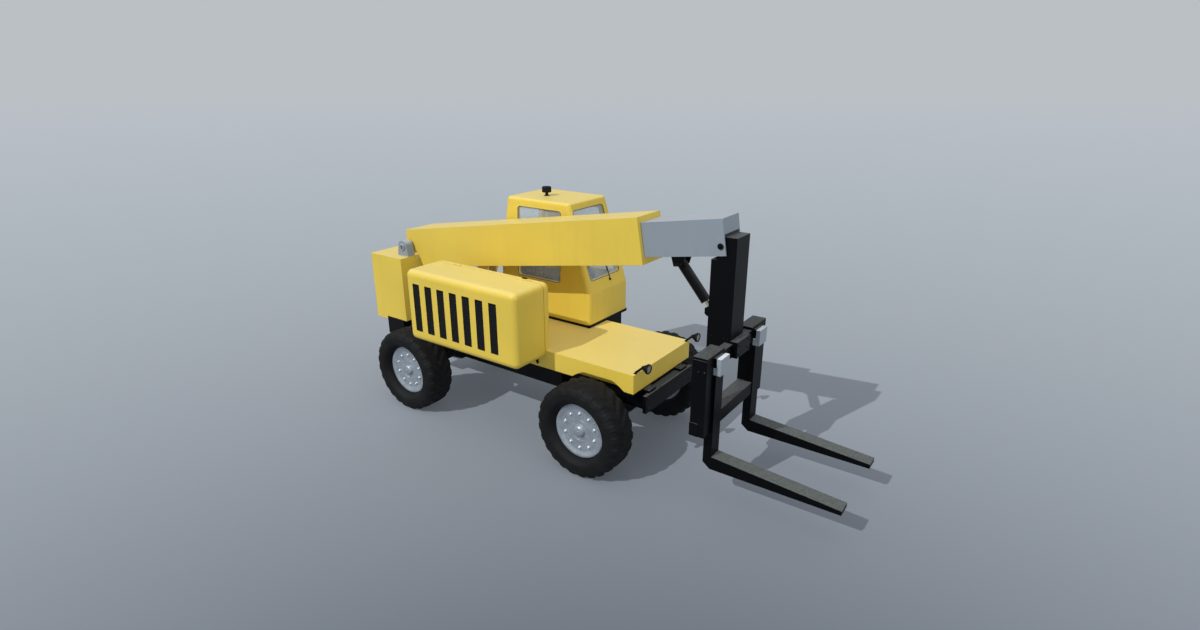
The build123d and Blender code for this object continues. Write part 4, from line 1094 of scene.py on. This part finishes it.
# where the floor's painted light falloff is darkest, and how slowly it pales from there
DARK_SPOT, SWEEP = (4.22, -5.72), 3.926
FLOOR_LIGHT = 1.10                   # what the lamps and the sky add up to on the floor
HAZE = (0.4946, 0.5254, 0.5560)      # what is seen past the floor
# u, as studio_floor works it out, and the floor's colour there, with the light falloff painted in
FLOOR = [(0.26, (0.1527, 0.1749, 0.2089)), (0.40, (0.2269, 0.2541, 0.2961)), (0.55, (0.2993, 0.3313, 0.3801)),
         (0.70, (0.3663, 0.4015, 0.4434)), (0.85, (0.4254, 0.4664, 0.5137)), (0.95, (0.4732, 0.5006, 0.5519)),
         (1.00, HAZE)]
# name, strength, spread in degrees, tint, the way it shines
LAMPS = [("key_lamp", 2.08, 0.4, (1.0, 0.985, 0.95), (0.33, 1.10, -1.0)),
         ("fill_lamp", 0.68, 40, (0.97, 0.97, 1.0), (-1.0, 0.25, -0.30)),
         ("soft_lamp", 0.66, 40, (0.97, 0.98, 1.0), (-0.1, 0.25, -1.0))]


def studio_floor():
    """A plain floor whose colour pales with distance r from its dark spot, a painted light falloff like that of a
    studio
    sweep lit from behind: its colour runs evenly in u = 1 - SWEEP / sqrt(r^2 + SWEEP^2), and far off it glows as
    the haze does."""
    finish = Finish("studio_floor", Roughness=1.0, Specular_IOR_Level=0.0)
    from_spot = finish.place(shift=(-DARK_SPOT[0], -DARK_SPOT[1], 0))
    r = finish.add("ShaderNodeVectorMath", {"operation": "LENGTH"}, (from_spot,), output=1)
    slope = finish.add("ShaderNodeMath", {"operation": "SQRT"}, (r * r + SWEEP**2,))
    ramp = finish.add("ShaderNodeValToRGB", {}, (1 - SWEEP / slope,))
    bar = ramp.out.node.color_ramp
    for place, colour in FLOOR[1:-1]:
        bar.elements.new(place)
    for element, (place, colour) in zip(bar.elements, FLOOR):
        element.position, element.color = place, (*shade(colour, 1 / FLOOR_LIGHT), 1)
    finish.set(Base_Color=ramp)
    glow = finish.add("ShaderNodeEmission", {}, {"Color": HAZE, "Strength": 1.0})
    near = Sock(finish, finish.shader.outputs[0])
    blend = finish.add("ShaderNodeMixShader", {}, (r.step(25, 140), near, glow))
    finish.tree.links.new(blend.out, finish.out.inputs[0])

    radii = [0, 4, 8, 14, 25, 60, 200, 1000]
    ground = Mould().turned([(radius, 0) for radius in radii], (0, 0, 0), Z, 96)
    mesh = bpy.data.meshes.new("studio_floor")
    mesh.from_pydata(np.concatenate(ground.points).tolist(), [], ground.faces)
    mesh.materials.append(finish.material)
    slab = bpy.data.objects.new("studio_floor", mesh)
    scene.collection.objects.link(slab)


def studio_sky():
    """The haze where the camera sees past the floor, and a cooler light of its own on the machine."""
    world = bpy.data.worlds.new("studio_sky")
    scene.world = world
    world.use_nodes = True
    tree = world.node_tree
    tree.nodes.clear()
    path, pick, out, lit, seen = (tree.nodes.new(f"ShaderNode{kind}") for kind in (
        "LightPath", "MixShader", "OutputWorld", "Background", "Background"))
    seen.inputs[0].default_value, seen.inputs[1].default_value = (*HAZE, 1), 1.0
    lit.inputs[0].default_value, lit.inputs[1].default_value = (0.94, 0.97, 1.0, 1), 0.46
    for source, socket in ((path.outputs["Is Camera Ray"], pick.inputs[0]), (lit.outputs[0], pick.inputs[1]),
                           (seen.outputs[0], pick.inputs[2]), (pick.outputs[0], out.inputs[0])):
        tree.links.new(source, socket)


def aim(made, way):
    """Turns a lamp or a camera to look along way, and adds it to the scene."""
    made.rotation_mode = "QUATERNION"
    made.rotation_quaternion = Vector(way).to_track_quat("-Z", "Y")
    scene.collection.objects.link(made)


def lamps():
    """A hard key lamp, and two soft ones that cast no shadow."""
    for name, strength, spread, tint, way in LAMPS:
        lamp = bpy.data.lights.new(name, "SUN")
        lamp.energy, lamp.angle, lamp.color = strength, radians(spread), tint
        lamp.use_shadow = name == "key_lamp"
        aim(bpy.data.objects.new(name, lamp), way)


def camera():
    """Eye of a person on a ladder, looking down from the front right."""
    eye = bpy.data.objects.new("camera", bpy.data.cameras.new("camera"))
    eye.location = EYE
    eye.data.sensor_width, eye.data.lens, eye.data.clip_end = 36.0, 20.307, 3000
    aim(eye, (-sin(TURN) * cos(DIP), cos(TURN) * cos(DIP), -sin(DIP)))
    scene.camera = eye


finish_solids()
for dress in (wheels, window_seals, door_window_seal, door_handle, grab_rail, windscreen_wiper, beacon_lamp,
              work_lamps, hood_slots, hood_catch, seat, seat_frame, seat_bellows, steering_wheel, dashboard,
              cab_linings, door_lining, pedals, control_levers, engine_castings, valve_cover, radiator,
              air_filter_and_hoses, pivot_pin_caps, bearing_welds, carriage_welds, carriage_bolts, hook_pins,
              nose_pin_caps, tilt_bracket_welds, lift_cylinder_ports, front_bolts, tail_lamps, fuel_cap,
              step_studs, studio_floor, studio_sky, lamps, camera):
    dress()
scene.view_settings.view_transform = "Standard"
